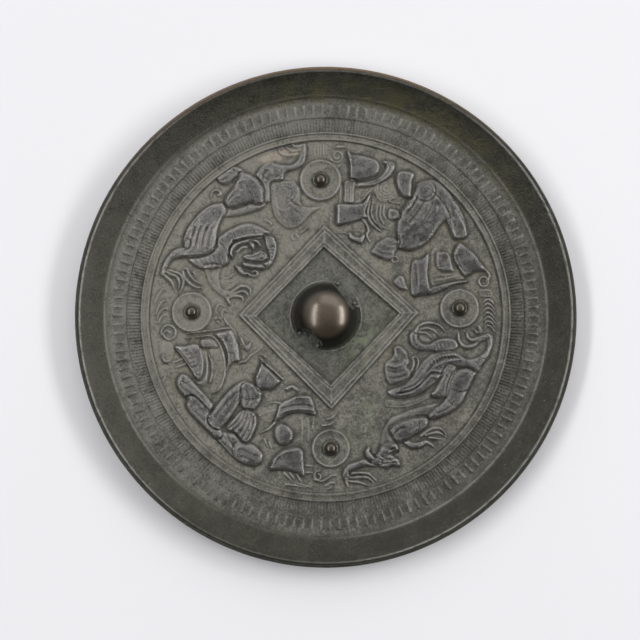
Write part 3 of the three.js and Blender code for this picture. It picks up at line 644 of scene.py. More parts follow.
# %% The lord
def lord_robe():
    mass([(36, 52.4), (38.4, 54.4), (42, 55), (45.4, 53.9), (48.4, 51.2), (51, 48), (53.4, 44.4),
          (55.3, 40.6), (56.7, 36.4), (57.1, 33.5), (56.5, 31.8), (54, 30.7), (52, 30.7), (50.4, 32.6),
          (49.2, 36), (47.6, 39), (43, 42.6), (38, 47)], HIGH, edge=2.6, moat=0.2)
    mass([(33.4, 47.4), (36, 50.4), (40, 50.4), (44, 48.4), (47.4, 44), (49.6, 40.2), (48.6, 38.8),
          (46.5, 37), (44.5, 34.4), (43, 32), (41.4, 30.2), (38.5, 28), (35.5, 26.6), (33, 26.3),
          (30.5, 26.8), (28.9, 27.6), (28.6, 31), (28.4, 36), (29.2, 40.4), (30.8, 43.4)],
         HIGH + 0.1, edge=2.4, moat=0.2)
    hollow_out((53.5, 34.4), 1.7, 2.4, -25, 0.7)
    for line in ([(50.4, 37.4), (50.9, 34.4), (52.2, 32), (54.4, 31.4), (56.2, 32.4)],
                 [(52, 42.2), (54, 38.8), (56, 34.6)]):
        ridge(line, 0.8, 0.3)
    for line in (
        [(41.4, 46.8), (39.6, 43.4), (37.4, 40), (34.6, 37)],
        [(38, 48.4), (36.2, 44.6), (33.8, 41), (31.4, 38.4)],
        [(34.8, 46.6), (33, 43.4), (31, 41.2)],
        [(44.6, 43.6), (43.6, 40.6), (41.8, 38.4)],
    ):
        ridge(line, 1.3, 0.25)
    for line in (
        [(40, 47.4), (38, 43.8), (35.8, 40.6), (33.4, 38)],
        [(36.6, 47.8), (34.8, 44.4), (32.4, 41.2)],
        [(42.8, 45.6), (41.4, 42), (39.4, 39)],
        [(47.8, 45.6), (49.2, 42), (49.6, 39.6)],
    ):
        cut(line, 0.8, 0.35)
    for x, y, wide, high in ((35.6, 36.6, 2.0, 0.3), (37.8, 34, 1.6, 0.25), (32.6, 35, 1.6, 0.3),
                             (40.6, 36, 1.4, 0.2), (33, 43.6, 1.4, 0.3), (38.6, 30.4, 1.8, -0.3),
                             (43, 40.6, 1.8, -0.25), (35.4, 31.6, 1.4, -0.25), (30.8, 32.6, 1.2, 0.25)):
        hollow_out((x, y), wide, wide * 0.7, 30, -high)


def lord_head():
    mass(arc((39.8, 50.4), 3.9, 0, 315, 7), HIGH + 0.25, edge=2.4, moat=0.12)
    cut(arc((39.8, 50.4), 4.3, 250, 380), 0.9, 0.3)
    mass([(29, 58), (31, 58.7), (34, 58.3), (35.8, 57), (34.9, 54), (34.8, 51), (34.2, 48),
          (32.2, 47.5), (30.5, 48.5), (29, 51), (28, 53.5), (28, 55.5), (28.4, 57)], HIGH + 0.2, edge=2)
    mass([(25.4, 43), (29.2, 42.2), (29, 39.3), (25.3, 39)], LOW + 0.2, edge=0.8, moat=0.4)
    hollow_out((27.2, 41), 1.2, 1.1, 0, 0.3)
    bar([(25.4, 46.4), (27.6, 45.6), (29.6, 45.4)], 0.9, 0.5, moat=0)
    mass([(18.2, 25.6), (19.2, 27.6), (20.6, 29.6), (23, 31.1), (25, 32), (27, 31.5), (29.2, 30),
          (28.4, 27.6), (27.6, 25.4), (27, 23.2), (24.4, 22.4), (21, 23.8)], LOW + 0.2, moat=0.3)
    for fold in ([(20.6, 27.2), (23.6, 25.8), (27.2, 25.6)], [(22.4, 29.6), (25, 28), (28, 27.6)],
                 [(19.6, 25.6), (22.4, 24), (25.4, 23.4)], [(24.6, 31), (26.6, 29.8), (28.6, 29.4)]):
        ridge(fold, 0.9, 0.2)
    bar(arc((27.8, 22.7), 1.2, 20, 380), 0.8, 0.6, moat=0)
    bar([(27.7, 26.2), (29, 28.2)], 0.9, LOW, moat=0)


lord_robe()
lord_head()

# %% [markdown]
# ## Right: the dancer and the drum
# A dancer bends over a drum, with a broad cap like a leaf. Nested feathers run down beside the nipple.

# %% The dancer
def dancer():
    mass([(27, 13.6), (28, 15.6), (29.6, 16.4), (31.2, 15.8), (32, 13.5), (32.9, 10.7), (31.4, 10.4),
          (30, 10.8), (28.4, 11.8)], MID)
    cut([(29.6, 14.8), (30.4, 13), (30.8, 11.6)], 0.7, 0.3)
    mass([(41, 23.8), (42.6, 26.4), (44.2, 27.6), (46, 26.6), (49.6, 26.6), (52, 23), (53.8, 18.6),
          (55.6, 15.2), (52, 14), (46, 12.6), (42, 11.4), (40.6, 16)], 0.5, moat=0)
    mass([(34.6, 8.3), (34, 13), (34.1, 19), (34.7, 22), (36, 22.9), (38, 23), (39.5, 24),
          (41.4, 25.4), (41.4, 21), (41.2, 16), (42, 12), (43.4, 9.4), (38.6, 8.2)], HIGH, edge=2.2)
    mass([(42, 11.6), (45, 12.4), (49.6, 13.6), (53.6, 14.2), (57.4, 14.4), (57, 13.5), (53, 12.8),
          (50, 11.8), (46, 9.9), (42.4, 8.6), (40, 9)], MID, edge=1.1, moat=0)
    ridge([(41.6, 23.6), (41.6, 19), (42, 15), (43, 12.4)], 0.8, 0.3)
    for line in ([(43.2, 14.2), (48, 14.8), (52.6, 16.2)], [(43, 16.2), (47, 16.4), (51.4, 17)]):
        ridge(line, 0.8, 0.3)
    mass([(44.2, 25.6), (44, 21.4), (44.6, 19.2), (46.5, 17.9), (49, 17.6), (51.6, 17.8), (51, 20.6),
          (50, 24), (48.6, 25.9), (46.2, 26)], MID, edge=1.5, moat=0.3)
    hollow_out((47.6, 22.6), 1.6, 1.8, 0, 0.25)
    mass([(51, 24.5), (51.8, 27.5), (53, 29), (54.5, 29.3), (57, 27.5), (60, 24.8), (62.5, 21.5),
          (64.6, 18.2), (62, 18.1), (59.5, 17.7), (57.5, 16.4), (56, 15.9), (54.6, 16.9), (53, 19.5),
          (51.5, 22)], HIGH + 0.1, edge=2.2, moat=0.5)
    cut([(52.3, 24.4), (52.8, 22.2), (54.2, 19.6), (56, 17.6)], 0.7, 0.35)
    hollow_out((35.4, 15.4), 1.3, 7, 2, 0.75)
    bar(arc((63.3, 13.8), 1.9, 60, 400, 10) + [(64.2, 13.2), (63.2, 12.9)], [1.0, 1.1, 0.8], LOW, moat=0)
    bar([(64.6, 18), (65.6, 16.4), (65.2, 14.6)], [1.2, 0.9], LOW, moat=0)


def right_feathers():
    mass([(62, 10.8), (66.4, 10.4), (66.4, 7.6), (62, 7.8)], 0.6, edge=0.8, moat=0)
    for place in (8.6, 9.6):
        cut([(62.4, place), (66, place - 0.2)], 0.6, 0.25)
    for row in range(7):
        drop = 1.75 * row
        bar([(62.9 + 0.12 * row, 5.2 - drop), (64.4, 6.6 - drop), (66.2, 6.2 - drop), (67.6, 4.2 - drop)],
            [0.5, 1.0, 1.1, 0.7], LOW - 0.1, moat=0)


dancer()
right_feathers()

# %% [markdown]
# ## Lower right: the dragon
# The dragon coils from the square to the rim and rears its head at the bottom. Tail, back and flank
# are one long band with lines that follow it, and the hip and the thigh stand highest.

# %% The dragon
def dragon_body():
    mass([(24.8, -29.8), (30, -27.8), (33.6, -25.2), (36.2, -21.4), (39, -17.8), (42, -15.4),
          (45.5, -13.9), (50, -13.7), (53, -15), (56.5, -17.1), (59.6, -16.8), (62.6, -15.2),
          (64.4, -12.6), (64.4, -10), (62.6, -8.2), (65, -6.8), (66.7, -7.6), (67.3, -10),
          (66.8, -12.4), (65.8, -15), (65, -17), (63, -19.3), (60.5, -22.6), (58, -21.2),
          (55, -20.8), (52.4, -21.2), (49.4, -22.6), (46.4, -24.4), (44, -26.4), (41, -28.9),
          (38, -31), (35, -32.2), (31, -32.9), (27, -32.5), (25, -31.2)], MID, edge=2, moat=0.2)
    for line in (
        [(45.6, -22.4), (42.4, -21.9), (39.6, -23.6), (37.4, -26.6), (34, -29), (29, -30.2)],
        [(44.4, -24.6), (42, -24.2), (40, -26), (37.4, -28.6), (34.4, -30.6), (30, -31.6)],
        [(51.6, -15.4), (46.6, -16), (42.6, -17.8), (40, -20.6), (38, -23.8), (35, -26.8), (29.6, -29)],
        [(53.6, -17.4), (48, -18.2), (44, -20)],
    ):
        ridge(line, 1.0, 0.3)
    for line in (
        [(46, -23.2), (42.6, -23), (40, -24.8), (37.4, -27.6), (34, -29.9), (29.4, -31)],
        [(52.6, -16.6), (47.6, -17), (43.4, -19), (40.8, -21.8), (38.4, -25.2), (35, -28)],
    ):
        cut(line, 0.7, 0.35)
    fan([(41.4, -16.6), (53, -14.8)], [(42.8, -19.2), (54, -17.2)], 9, cut, width=0.6, depth=0.2)
    mass([(49.4, -19.6), (47.6, -21.2), (46.1, -24.6), (43.4, -29.3), (41.9, -31), (42.8, -32.4),
          (46, -32.9), (49, -32), (51, -26), (52.4, -21.6)], MID + 0.2, edge=1.8, moat=0.35)
    mass([(24.6, -42.4), (26, -40.6), (30, -38.9), (35, -37), (40, -35.8), (44.6, -34.8),
          (48, -36), (47, -39.6), (42, -41.1), (40, -40), (36, -41), (31, -43), (28, -46),
          (27.6, -49.4), (28.4, -51), (27, -55), (22, -57.6), (21, -55), (21.7, -52), (22.2, -48),
          (23, -44.8)], LOW + 0.1, edge=1.4, moat=0.2)
    mass([(50.4, -24), (52.5, -21.5), (55.5, -20.9), (58, -21.4), (60.3, -22.8), (59.2, -25),
          (57.6, -28.4), (56, -31.7), (54.8, -34.2), (52.6, -36.6), (50, -38.6), (46.5, -40.2),
          (42, -41.4), (40.8, -39.6), (43.4, -36.6), (46.6, -34.4), (48.2, -31.6), (49, -27.6)],
         HIGH + 0.1, edge=2.4, moat=0.3)
    for line in ([(50.4, -29.4), (53.4, -30.4), (56.4, -30)], [(48.6, -33.6), (51, -36)],
                 [(44.6, -38.8), (48, -37.4), (51, -34.6)]):
        cut(line, 0.9, 0.25)
    bar([(24, -36.1), (30, -36.3), (35, -35.3), (41, -32.5)], [0.5, 0.9, 0.8], 0.45, moat=0)
    mass([(24, -33.4), (30, -34), (36, -33.2), (41.6, -30.6), (41.4, -32.4), (35, -35.2), (30, -36.2),
          (24, -36)], 0.35, moat=0)


def dragon_tail():
    for hook in (
        [(53.1, -6.8), (53.2, -9.4), (54.6, -11.6), (57, -12.4), (59.6, -11.4), (61.4, -9.8), (64, -9)],
        [(56.5, -6.6), (56.9, -8.6), (58.6, -9.7), (61, -9), (63.2, -8.2), (65, -8)],
        [(59.6, -5.6), (60.6, -6.6), (61.8, -6.2), (61.4, -4.4)],
    ):
        bar(hook, [0.9, 1.7, 1.8, 1.5], LOW + 0.1, moat=0.2)
    ridge([(65.6, -8.4), (66.2, -11), (65.4, -14), (64, -16.6), (61.4, -20)], 0.9, 0.25)
    cut([(58.6, -18.2), (60.6, -19), (61.4, -20.6)], 0.8, 0.25)
    cut([(61.6, -16.4), (63.4, -17.2), (64, -18)], 0.8, 0.25)


def dragon_paw():
    mass([(36.4, -4.8), (34, -6.5), (33.3, -8.5), (33.9, -11.3), (35.8, -13.3), (38, -13.9),
          (41.3, -13.9), (45, -14.6), (50, -14.2), (53, -12.2), (51.6, -9.4), (48, -8.7), (45, -9.3),
          (43, -10.2), (40.6, -11.2), (38.4, -10.8), (36.9, -9), (37.2, -7), (38.6, -5.6)],
         MID, edge=1.5, moat=0.2)
    mass([(37.6, -6.8), (40, -5.4), (43, -6), (44.6, -8), (43, -9.8), (40.6, -10.8), (38.4, -10.2),
          (37.2, -8.6)], 0.5, moat=0)
    fan([(43.4, -11), (51, -10.2)], [(43.8, -13.2), (51.6, -12.4)], 5, cut, width=1.0, depth=0.22)
    for claw in (
        [(36.2, -6), (37.4, -4), (40.4, -2.8), (44, -3.1), (46.4, -4.6), (47.7, -6.4)],
        [(38.2, -5.4), (40.6, -4.9), (43.4, -5.9), (45.4, -7.8)],
        [(37.6, -6.6), (39.8, -6.8), (41.4, -7.8), (42.4, -8.8)],
    ):
        bar(claw, [1.4, 1.5, 1.3, 0.6], LOW + 0.1, moat=0.35)
    mass([(25.8, -44.4), (28, -42.9), (32, -41.4), (36, -40.4), (39.6, -40.3), (41, -41.8),
          (40.3, -44.2), (37, -46.7), (34, -48.4), (31.5, -50.2), (28.6, -50.5), (26.6, -48.6),
          (25.4, -46.4)], HIGH + 0.1, edge=2.4, moat=0.4)
    for line in ([(33.4, -45.8), (35.4, -44), (35.2, -42.6)], [(35.4, -46.4), (37.4, -44.6), (37.2, -43)],
                 [(27.6, -46.8), (29.6, -45), (32, -44.6)]):
        cut(line, 0.8, 0.25)
    mass([(31, -50.4), (32.4, -52), (34.4, -53), (37, -52.9), (39.4, -51.8), (41.4, -50.4),
          (39.8, -49.4), (37.4, -50.2), (34.6, -50.4), (33, -49.6)], MID, edge=1.1, moat=0.2)
    for claw in (
        [(38, -47.9), (40, -46.4), (42.6, -45), (45, -44.8), (46.8, -45.8), (48, -47.6)],
        [(40, -47.6), (42.8, -46.8), (45.2, -46.6), (47.8, -48.4)],
        [(41.4, -48.6), (43.4, -48.8), (45.6, -49.2)],
        [(40, -50.6), (41.6, -51), (43.4, -52.6)],
    ):
        bar(claw, [1.4, 1.3, 0.6], LOW, moat=0.25)


def dragon_head():
    mass([(18.8, -59.4), (15.8, -57), (12, -58), (9, -59.1), (7.3, -60.8), (6.6, -63.5), (7.8, -65.7),
          (9.6, -64.2), (9.6, -62.4), (12, -61.2), (15.6, -60), (19.4, -60)], MID, moat=0)
    mass([(20.4, -54.8), (21.8, -52), (23.6, -50.4), (26.4, -50.2), (28.3, -51.2), (29, -53.4),
          (26.4, -54.8), (27.6, -56.2), (29.2, -57.2), (29.8, -59.2), (28.6, -60.2), (26.4, -59.8),
          (24.4, -60.9), (21.4, -60.1), (17.4, -59.9), (18.4, -57.4)], MID + 0.2, edge=1.8, moat=0)
    bar([(17.2, -53), (16.6, -54.4), (17.6, -56.2), (19.4, -57.6), (21.4, -58.4)], [1.8, 2.8, 2.6, 1.6],
        MID + 0.2, moat=0.3)
    cut([(17.8, -53.6), (18.4, -55), (20, -56.4)], 0.7, 0.35)
    for x, y, wide, high in ((27.4, -51.8, 1.1, 0.35), (23.4, -53.4, 1.3, 0.3), (27.6, -57.4, 1.1, 0.35),
                             (24.4, -55.6, 1.0, -0.35), (21.8, -57, 1.0, 0.25), (25.6, -58.6, 0.9, 0.3),
                             (26.2, -53.4, 0.8, -0.3), (22, -51.6, 0.8, -0.25)):
        hollow_out((x, y), wide, wide * 0.75, 20, -high)
    cut([(25.6, -54.9), (27.2, -54.6), (28.8, -54.2)], 0.9, 0.7)
    cut([(22.6, -56.2), (24.8, -57.2), (27.4, -57)], 0.8, 0.3)
    cut([(21.6, -58.6), (24, -58.9), (27.6, -58.4)], 0.7, 0.3)
    ridge([(28, -51), (28.6, -52.4), (28.2, -53.6)], 0.8, 0.3)
    ridge([(22.8, -43), (22, -47), (21.8, -52)], 0.7, 0.2)
    for claw in (
        [(8.2, -64.4), (10.4, -64.6), (14, -64.2), (17, -64.6), (18.9, -66.6)],
        [(8.4, -65.4), (10.2, -66), (13, -66.3), (17, -67.7)],
        [(10.4, -62.8), (14, -62.6), (17, -63), (20, -65.6)],
        [(8, -65.2), (8.4, -66.8), (9, -68.4)],
    ):
        bar(claw, [1.2, 1.4, 1.3, 0.6], LOW, moat=0.2)


def small_creature():
    mass([(23.6, -19), (26, -17), (27.2, -14.8), (27, -13), (28.5, -11.7), (30.6, -12.5),
          (32.6, -14.5), (33.1, -17), (33.4, -18.6), (32.5, -20.4), (34, -22), (33.6, -24.4),
          (31, -26), (28, -26.9), (25.4, -27.3), (23.8, -24)], LOW + 0.3, edge=1.6, moat=0.3)
    ridge([(27.8, -15.6), (27.6, -13.4), (29, -12.4), (31, -13.6), (32.2, -16)], 0.9, 0.25)
    hollow_out((29.8, -15.8), 1.4, 2.0, 20, 0.35)
    ridge([(25, -19.6), (27.6, -20.4), (30, -19.6), (31.6, -18)], 1.0, 0.3)
    for line in ([(25, -22), (28, -22.8), (31, -22)], [(25, -24.6), (28, -25), (31.4, -24)],
                 [(26, -18.4), (28.6, -18.6)]):
        cut(line, 0.8, 0.3)
    bar([(34.6, -16.8), (35.2, -18.6), (34.6, -21.2), (33, -23.6)], [0.8, 1.2, 0.9], LOW, moat=0)
    bar([(36.8, -17), (37, -19.2), (36, -21.8)], [0.8, 1.1, 0.8], LOW, moat=0)
    bar([(34.6, -16.8), (35.8, -16.3), (36.8, -17)], 0.9, LOW, moat=0)


dragon_body()
dragon_tail()
dragon_paw()
dragon_head()
small_creature()

# %% [markdown]
# ## Bottom: the kneeling attendant
# Seen from the side beside a cushion, with a round head and a broad back.

# %% The lower attendant
def lower_attendant():
    mass([(-18.4, -35), (-14, -32.9), (-12, -31.8), (-7, -31.7), (-5.4, -33), (-4.5, -36),
          (-4, -39.6), (-8, -38.9), (-12, -38.6), (-15, -39.3), (-20.4, -42.2), (-19.6, -38.4)],
         MID, edge=1.4, moat=0.3)
    ridge([(-17.8, -38.8), (-14, -37.5), (-8.8, -37.2), (-4.8, -37.8)], 0.8, 0.3)
    cut([(-17.4, -37), (-12.8, -35.8), (-8.6, -35.6), (-5.4, -36.2)], 0.8, 0.3)
    ridge([(-16.4, -34.2), (-12.4, -32.8), (-7.4, -32.6)], 0.8, 0.2)
    mass([(-27.4, -47.2), (-23.6, -44.9), (-20.8, -42.2), (-19.2, -39), (-18.3, -35), (-17.4, -35.4),
          (-18.4, -39.6), (-20.2, -43.2), (-23.4, -46)], LOW, edge=0.7, moat=0)
    mass([(-26.6, -36.4), (-22.6, -34.6), (-18.4, -34.6), (-19.4, -39), (-22, -42.6), (-26.8, -40.2)],
         0.35, moat=0)
    bar([(-18.2, -34.9), (-21.4, -34.6), (-25.5, -36.1)], [1.2, 0.8], LOW, moat=0)
    bar([(-20, -37.6), (-23.4, -38.5), (-26.5, -40)], [1, 0.8], 0.6, moat=0)
    mass([(-22.4, -61.3), (-21.8, -58), (-20, -55.5), (-17, -53.3), (-14, -52.5), (-11, -52.3),
          (-9.3, -53.4), (-8.8, -56), (-8.4, -63.8), (-11, -62.9), (-14, -61.9), (-18, -61.4)],
         HIGH - 0.1, edge=2, moat=0.3)
    ridge([(-21.2, -59.6), (-19.4, -56.4), (-16.4, -54.4), (-12, -53.6)], 0.7, 0.18)
    mass([(-17.4, -42.9), (-14.8, -44), (-12.8, -46.4), (-13.2, -49.4), (-15.6, -51.6), (-18.4, -51.4),
          (-20.4, -48.8), (-20.6, -45.6), (-19.4, -43.4)], HIGH + 0.1, edge=2.2, moat=0.5)
    for place in (-9.6, -7):
        bar([(place, -41.4), (place + 0.2, -45), (place - 0.1, -49.6)], 0.9, 0.3, moat=0)
    bar([(-4.9, -40.4), (-5, -42.6), (-5.4, -45)], 0.8, 0.4, moat=0)
    mass([(-16.6, -29.4), (-15.6, -28), (-13.4, -27.6), (-11.4, -28.4), (-10.8, -30.2), (-12.4, -29.8),
          (-13.6, -28.9), (-15, -30)], LOW, edge=0.8)
    for line in (
        [(-8.8, -59.6), (-5, -60)], [(-8.4, -62.4), (-5.4, -62.6)], [(-16.6, -62.6), (-13.8, -65.6)],
        [(-14.2, -62.8), (-12.6, -65)], [(-11.6, -63.2), (-9.8, -66.2)],
        [(-16.2, -67.2), (-12, -67.6), (-8, -68.4)], [(-11, -66.8), (-6, -68.4)],
        [(-24.6, -49), (-23.2, -52)], [(-22.6, -50.4), (-21.6, -52.8)],
        [(0.5, -41.2), (2.4, -40.8), (4.2, -39)], [(-1.2, -43.8), (1.6, -43.4), (4, -41.6)],
        [(0, -67.6), (2, -66.6), (3.8, -66.8)], [(0.8, -69), (2.6, -68.2)],
    ):
        bar(line, [1.0, 1.0, 0.7], 0.55, moat=0)
    bar([(-3, -63), (-2, -64), (-2.6, -65.2), (-4, -65), (-4.6, -63.6), (-3.8, -62.2), (-2.4, -61.8)],
        0.9, LOW, moat=0)
    bar([(-4.6, -65.2), (-2, -66), (0, -65.2), (2, -63.9), (4.2, -63.6)], [0.9, 1.3, 0.7], LOW, moat=0)
    mass([(4, -49), (8, -44), (12, -40), (14, -35), (11.6, -33), (8, -36), (5, -40), (3.4, -44)],
         0.25, moat=0)


lower_attendant()

# %% [markdown]
# ## Lower left: the seated lady
# Long sleeves are held out, one behind the other, over a stool. The skirt falls in even pleats.

# %% The lady
def lady():
    mass([(-44, -48.4), (-42.6, -46.4), (-39, -46.4), (-36.5, -47), (-33.4, -50.4), (-30, -50.8),
          (-27, -52.6), (-25, -55), (-25.4, -58), (-28, -60), (-32, -59.4), (-36, -57.2), (-40, -53)],
         MID + 0.1, edge=1.6, moat=0.3)
    mass([(-36, -51.2), (-33.2, -50.4), (-29.6, -51.2), (-26.6, -53.2), (-25.2, -56), (-26.4, -59),
          (-29.4, -59.8), (-33, -58.6), (-36.2, -56.4), (-37, -53.6)], HIGH, edge=2.4, moat=0.3)
    cut([(-42.8, -49), (-39.6, -52.2), (-36.6, -55.4)], 0.8, 0.3)
    cut([(-39.4, -46.8), (-38, -50), (-36.6, -52.2)], 0.9, 0.35)
    ridge([(-42.6, -47), (-39.8, -50), (-37, -53)], 0.9, 0.25)
    mass([(-59.8, -27), (-59, -24.2), (-57, -23), (-54.6, -24.2), (-51, -28.2), (-46.8, -32.8),
          (-44.8, -35.4), (-46, -38.6), (-49, -38), (-53.4, -34.4), (-57.4, -31.6)],
         HIGH, edge=2.2, moat=0.2)
    mass([(-55.9, -35.4), (-55.2, -33), (-53.4, -32.2), (-51, -33.6), (-47.4, -37.8), (-44.4, -41),
          (-41.6, -44.4), (-41.8, -48), (-44, -49), (-47, -46.2), (-51, -42.2), (-54.6, -38.4)],
         HIGH, edge=2.2, moat=0.35)
    mass([(-46.8, -41.6), (-46, -39), (-42.6, -34), (-39, -30), (-35.4, -27), (-31.8, -25.8),
          (-30, -27.4), (-32.4, -31), (-34.4, -34.8), (-36.6, -38.4), (-39.4, -42.6), (-42.4, -45),
          (-45.4, -44)], HIGH + 0.1, edge=2.4, moat=0.35)
    mass([(-33, -27.4), (-30, -26.6), (-27, -28.4), (-25.3, -30.6), (-26, -34), (-27.4, -36.6),
          (-29.6, -38), (-32.4, -37.6), (-34, -35.4), (-33.8, -31)], HIGH, edge=1.8, moat=0.3)
    mass([(-39.6, -44.2), (-37, -41), (-34, -37.8), (-31.6, -37.6), (-29, -38.2), (-27.4, -40),
          (-27.2, -43), (-28.4, -46.4), (-30.2, -49.9), (-32.4, -50.5), (-34.5, -48.6), (-36.5, -46.6),
          (-38.8, -45.8)], MID + 0.2, edge=1.3, moat=0.3)
    for start, stop in (((-33.4, -38.4), (-38.6, -44.8)), ((-32.2, -38.6), (-36.8, -46)),
                        ((-31, -38.8), (-35, -47.4)), ((-29.8, -39.4), (-33.4, -48.8)),
                        ((-28.8, -40.4), (-31.6, -49.6))):
        bend = ((start[0] + stop[0]) / 2 + 0.6, (start[1] + stop[1]) / 2 - 0.3)
        cut([start, bend, stop], 0.8, 0.4)
    ridge([(-28.4, -39.4), (-27.9, -43), (-29.6, -47.4), (-31, -49.8)], 0.7, 0.3)
    mass([(-28.4, -25.4), (-27.4, -22.4), (-26.3, -20), (-25.7, -17.8), (-24.6, -19.6), (-22, -21.8),
          (-19.4, -24.4), (-18, -26), (-19.4, -27.8), (-22, -29.6), (-24.4, -29.4), (-27, -29.4)],
         HIGH + 0.1, edge=2, moat=0.3)
    ridge([(-27.6, -24.6), (-26.6, -22), (-25.6, -19)], 0.9, 0.35)
    bar([(-26.4, -16.8), (-23.4, -19.6), (-20, -22.6), (-17, -25.4)], [0.7, 1.1, 0.9], LOW, moat=0)
    bar([(-26.6, -15.4), (-25, -15.8), (-23.8, -16.8)], 0.8, LOW, moat=0)
    for line in (
        [(-57.6, -28.2), (-53.8, -31), (-49.8, -34.8)], [(-57, -26), (-52.8, -29), (-48.6, -33.2)],
        [(-54, -36), (-50.6, -39.6), (-46, -44)], [(-52.6, -34.4), (-49.4, -37.8), (-45.4, -42)],
        [(-44.6, -41.4), (-41, -36.6), (-36.8, -32), (-33.4, -29.4)],
        [(-42, -43), (-39.2, -38.8), (-36, -34.8), (-33.6, -32.4)],
        [(-34.6, -53.4), (-31.4, -54), (-28, -56)], [(-34, -56.2), (-31, -57), (-28.6, -58.4)],
        [(-31.6, -29.6), (-30.4, -32.4), (-31.4, -35.8)], [(-29, -29.4), (-27.8, -32.6), (-28.8, -35.8)],
        [(-33, -33), (-30, -33.6), (-26.6, -32.6)],
    ):
        cut(line, 1.0, 0.22)
    for x, y in ((-58.2, -27), (-54.4, -34.4), (-45, -42)):
        bar([(x, y), (x + 0.8, y + 1.4)], 1.4, HIGH + 0.2, moat=0)


lady()

# %% [markdown]
# ## Left: the attendant with a fan
# A ribbed fan is held up before hangings that fall from one long fold. Clouds fill the corners.

# %% The left attendant and clouds
def left_hangings():
    mass([(-47.6, -8.6), (-44, -8.6), (-41.6, -12), (-40.4, -16), (-40.2, -21), (-41, -26),
          (-42.8, -29.6), (-45.4, -31.2), (-46.4, -30), (-45.4, -26), (-45.2, -21), (-46.4, -15)],
         0.6, moat=0)
    bar([(-56, -9), (-50, -8.3), (-46, -8), (-43.4, -10.2), (-41.2, -14.6), (-40.2, -20),
         (-40.8, -25), (-42.6, -29.3), (-45, -30.8)], [0.7, 1.0, 1.2, 1.2, 0.8], LOW + 0.1, moat=0)
    bar([(-54.6, -11.6), (-52, -8.4), (-47, -9.4), (-43.9, -13.4), (-42.2, -19), (-42.6, -25),
         (-44.2, -28.6)], [0.6, 0.9, 0.9], LOW - 0.2, moat=0)
    bar([(-46.8, -15.6), (-45.4, -19.4), (-45.4, -23.4), (-46.2, -26.2)], [0.7, 1.2, 1.0], LOW - 0.1, moat=0)
    bar([(-55.6, -6.9), (-50, -6.3), (-44, -5.6), (-39, -4.9), (-37, -5.4), (-35, -9.6),
         (-32.8, -12.8)], [0.6, 1.0, 1.0, 0.8], LOW, moat=0)
    mass([(-44.4, -7.2), (-41, -6), (-38, -5.3), (-36.6, -6.4), (-35, -10.6), (-34.2, -15),
          (-34.2, -18), (-36.4, -18.4), (-38, -19.6), (-39.6, -21.8), (-39.4, -17.4), (-40, -13.6),
          (-41.6, -10)], MID + 0.1, edge=1.6, moat=0.3)
    for line in ([(-43, -8.2), (-40.4, -11.4), (-38.9, -16), (-38.7, -19.6)],
                 [(-40.4, -6.9), (-38.2, -10.6), (-37.2, -15), (-37, -17.8)],
                 [(-38.2, -6.4), (-36.6, -10.6), (-35.7, -15), (-35.4, -17.6)]):
        ridge(line, 0.9, 0.25)
    cut([(-39.4, -8.6), (-37.6, -12.6), (-36.8, -17.4)], 1.2, 0.3)
    bar([(-34.6, -18.6), (-32, -18), (-30, -15.8), (-28, -14.5), (-25.5, -12.5)],
        [1.1, 1.1, 0.8], 0.6, moat=0)
    mass([(-50, -9.6), (-45.4, -9.4), (-43.4, -12.2), (-46, -12.6), (-49.6, -12.6)], LOW + 0.2, edge=0.9)
    mass([(-35, -7.8), (-33.6, -8.6), (-32, -11.6), (-30.4, -10.6), (-29.4, -9.6), (-30, -12.4),
          (-31.4, -14.4), (-33, -12)], LOW, edge=0.8)


def left_attendant():
    mass([(-50.6, -12.6), (-48.2, -13.8), (-47, -17), (-46.8, -21), (-47, -25), (-48, -27.6),
          (-50, -27.8), (-52, -26.4), (-51, -22), (-50, -17)], LOW, moat=0)
    ridge([(-49.8, -13.4), (-48, -16.6), (-47.4, -21), (-48, -26)], 0.8, 0.3)
    mass([(-60.6, -12.2), (-56, -11.7), (-53, -10.9), (-51, -11.4), (-49.5, -13.5), (-48.5, -17),
          (-48.3, -20), (-48.8, -23), (-50.2, -25.6), (-51.5, -25.4), (-54, -21.5), (-57, -17)],
         HIGH, edge=1.7, moat=0.4)
    cut([(-55.4, -13.4), (-53.2, -16.8), (-51.6, -22.4)], 1.6, 0.3)
    for step in range(7):
        y = -13.4 - 1.6 * step
        x = -57 + 0.95 * step
        ridge([(x, y), (x + 1.2, y + 0.5)], 0.8, 0.2)
    cut([(-59.4, -13), (-56.4, -16.6), (-53, -21.4), (-51.4, -24)], 0.6, 0.3)
    bar([(-60.8, -18.5), (-58.4, -17.6), (-56.6, -16.8)], [1.0, 0.8], 0.5, moat=0)
    bar([(-59.8, -20.5), (-57.4, -19.8), (-55.8, -19)], [1.0, 0.8], 0.5, moat=0)
    mass([(-66.6, -11), (-64.6, -9.6), (-62, -10.6), (-60.4, -13), (-61, -16), (-62.4, -18.6),
          (-64.4, -18.8), (-65.6, -16.4), (-66.4, -14)], 0.45, edge=2.2, moat=0)
    bar([(-65.4, -16.4), (-64.4, -18.2), (-63.2, -18)], 1.2, LOW + 0.2, moat=0)
    bar(arc((-63, -6.6), 2.9, 200, -90, 10) + [(-64.4, -8.6), (-65, -7), (-63.8, -5.9), (-62.4, -6.6)],
        [0.8, 1.1, 1.0, 0.8], LOW - 0.1, moat=0)


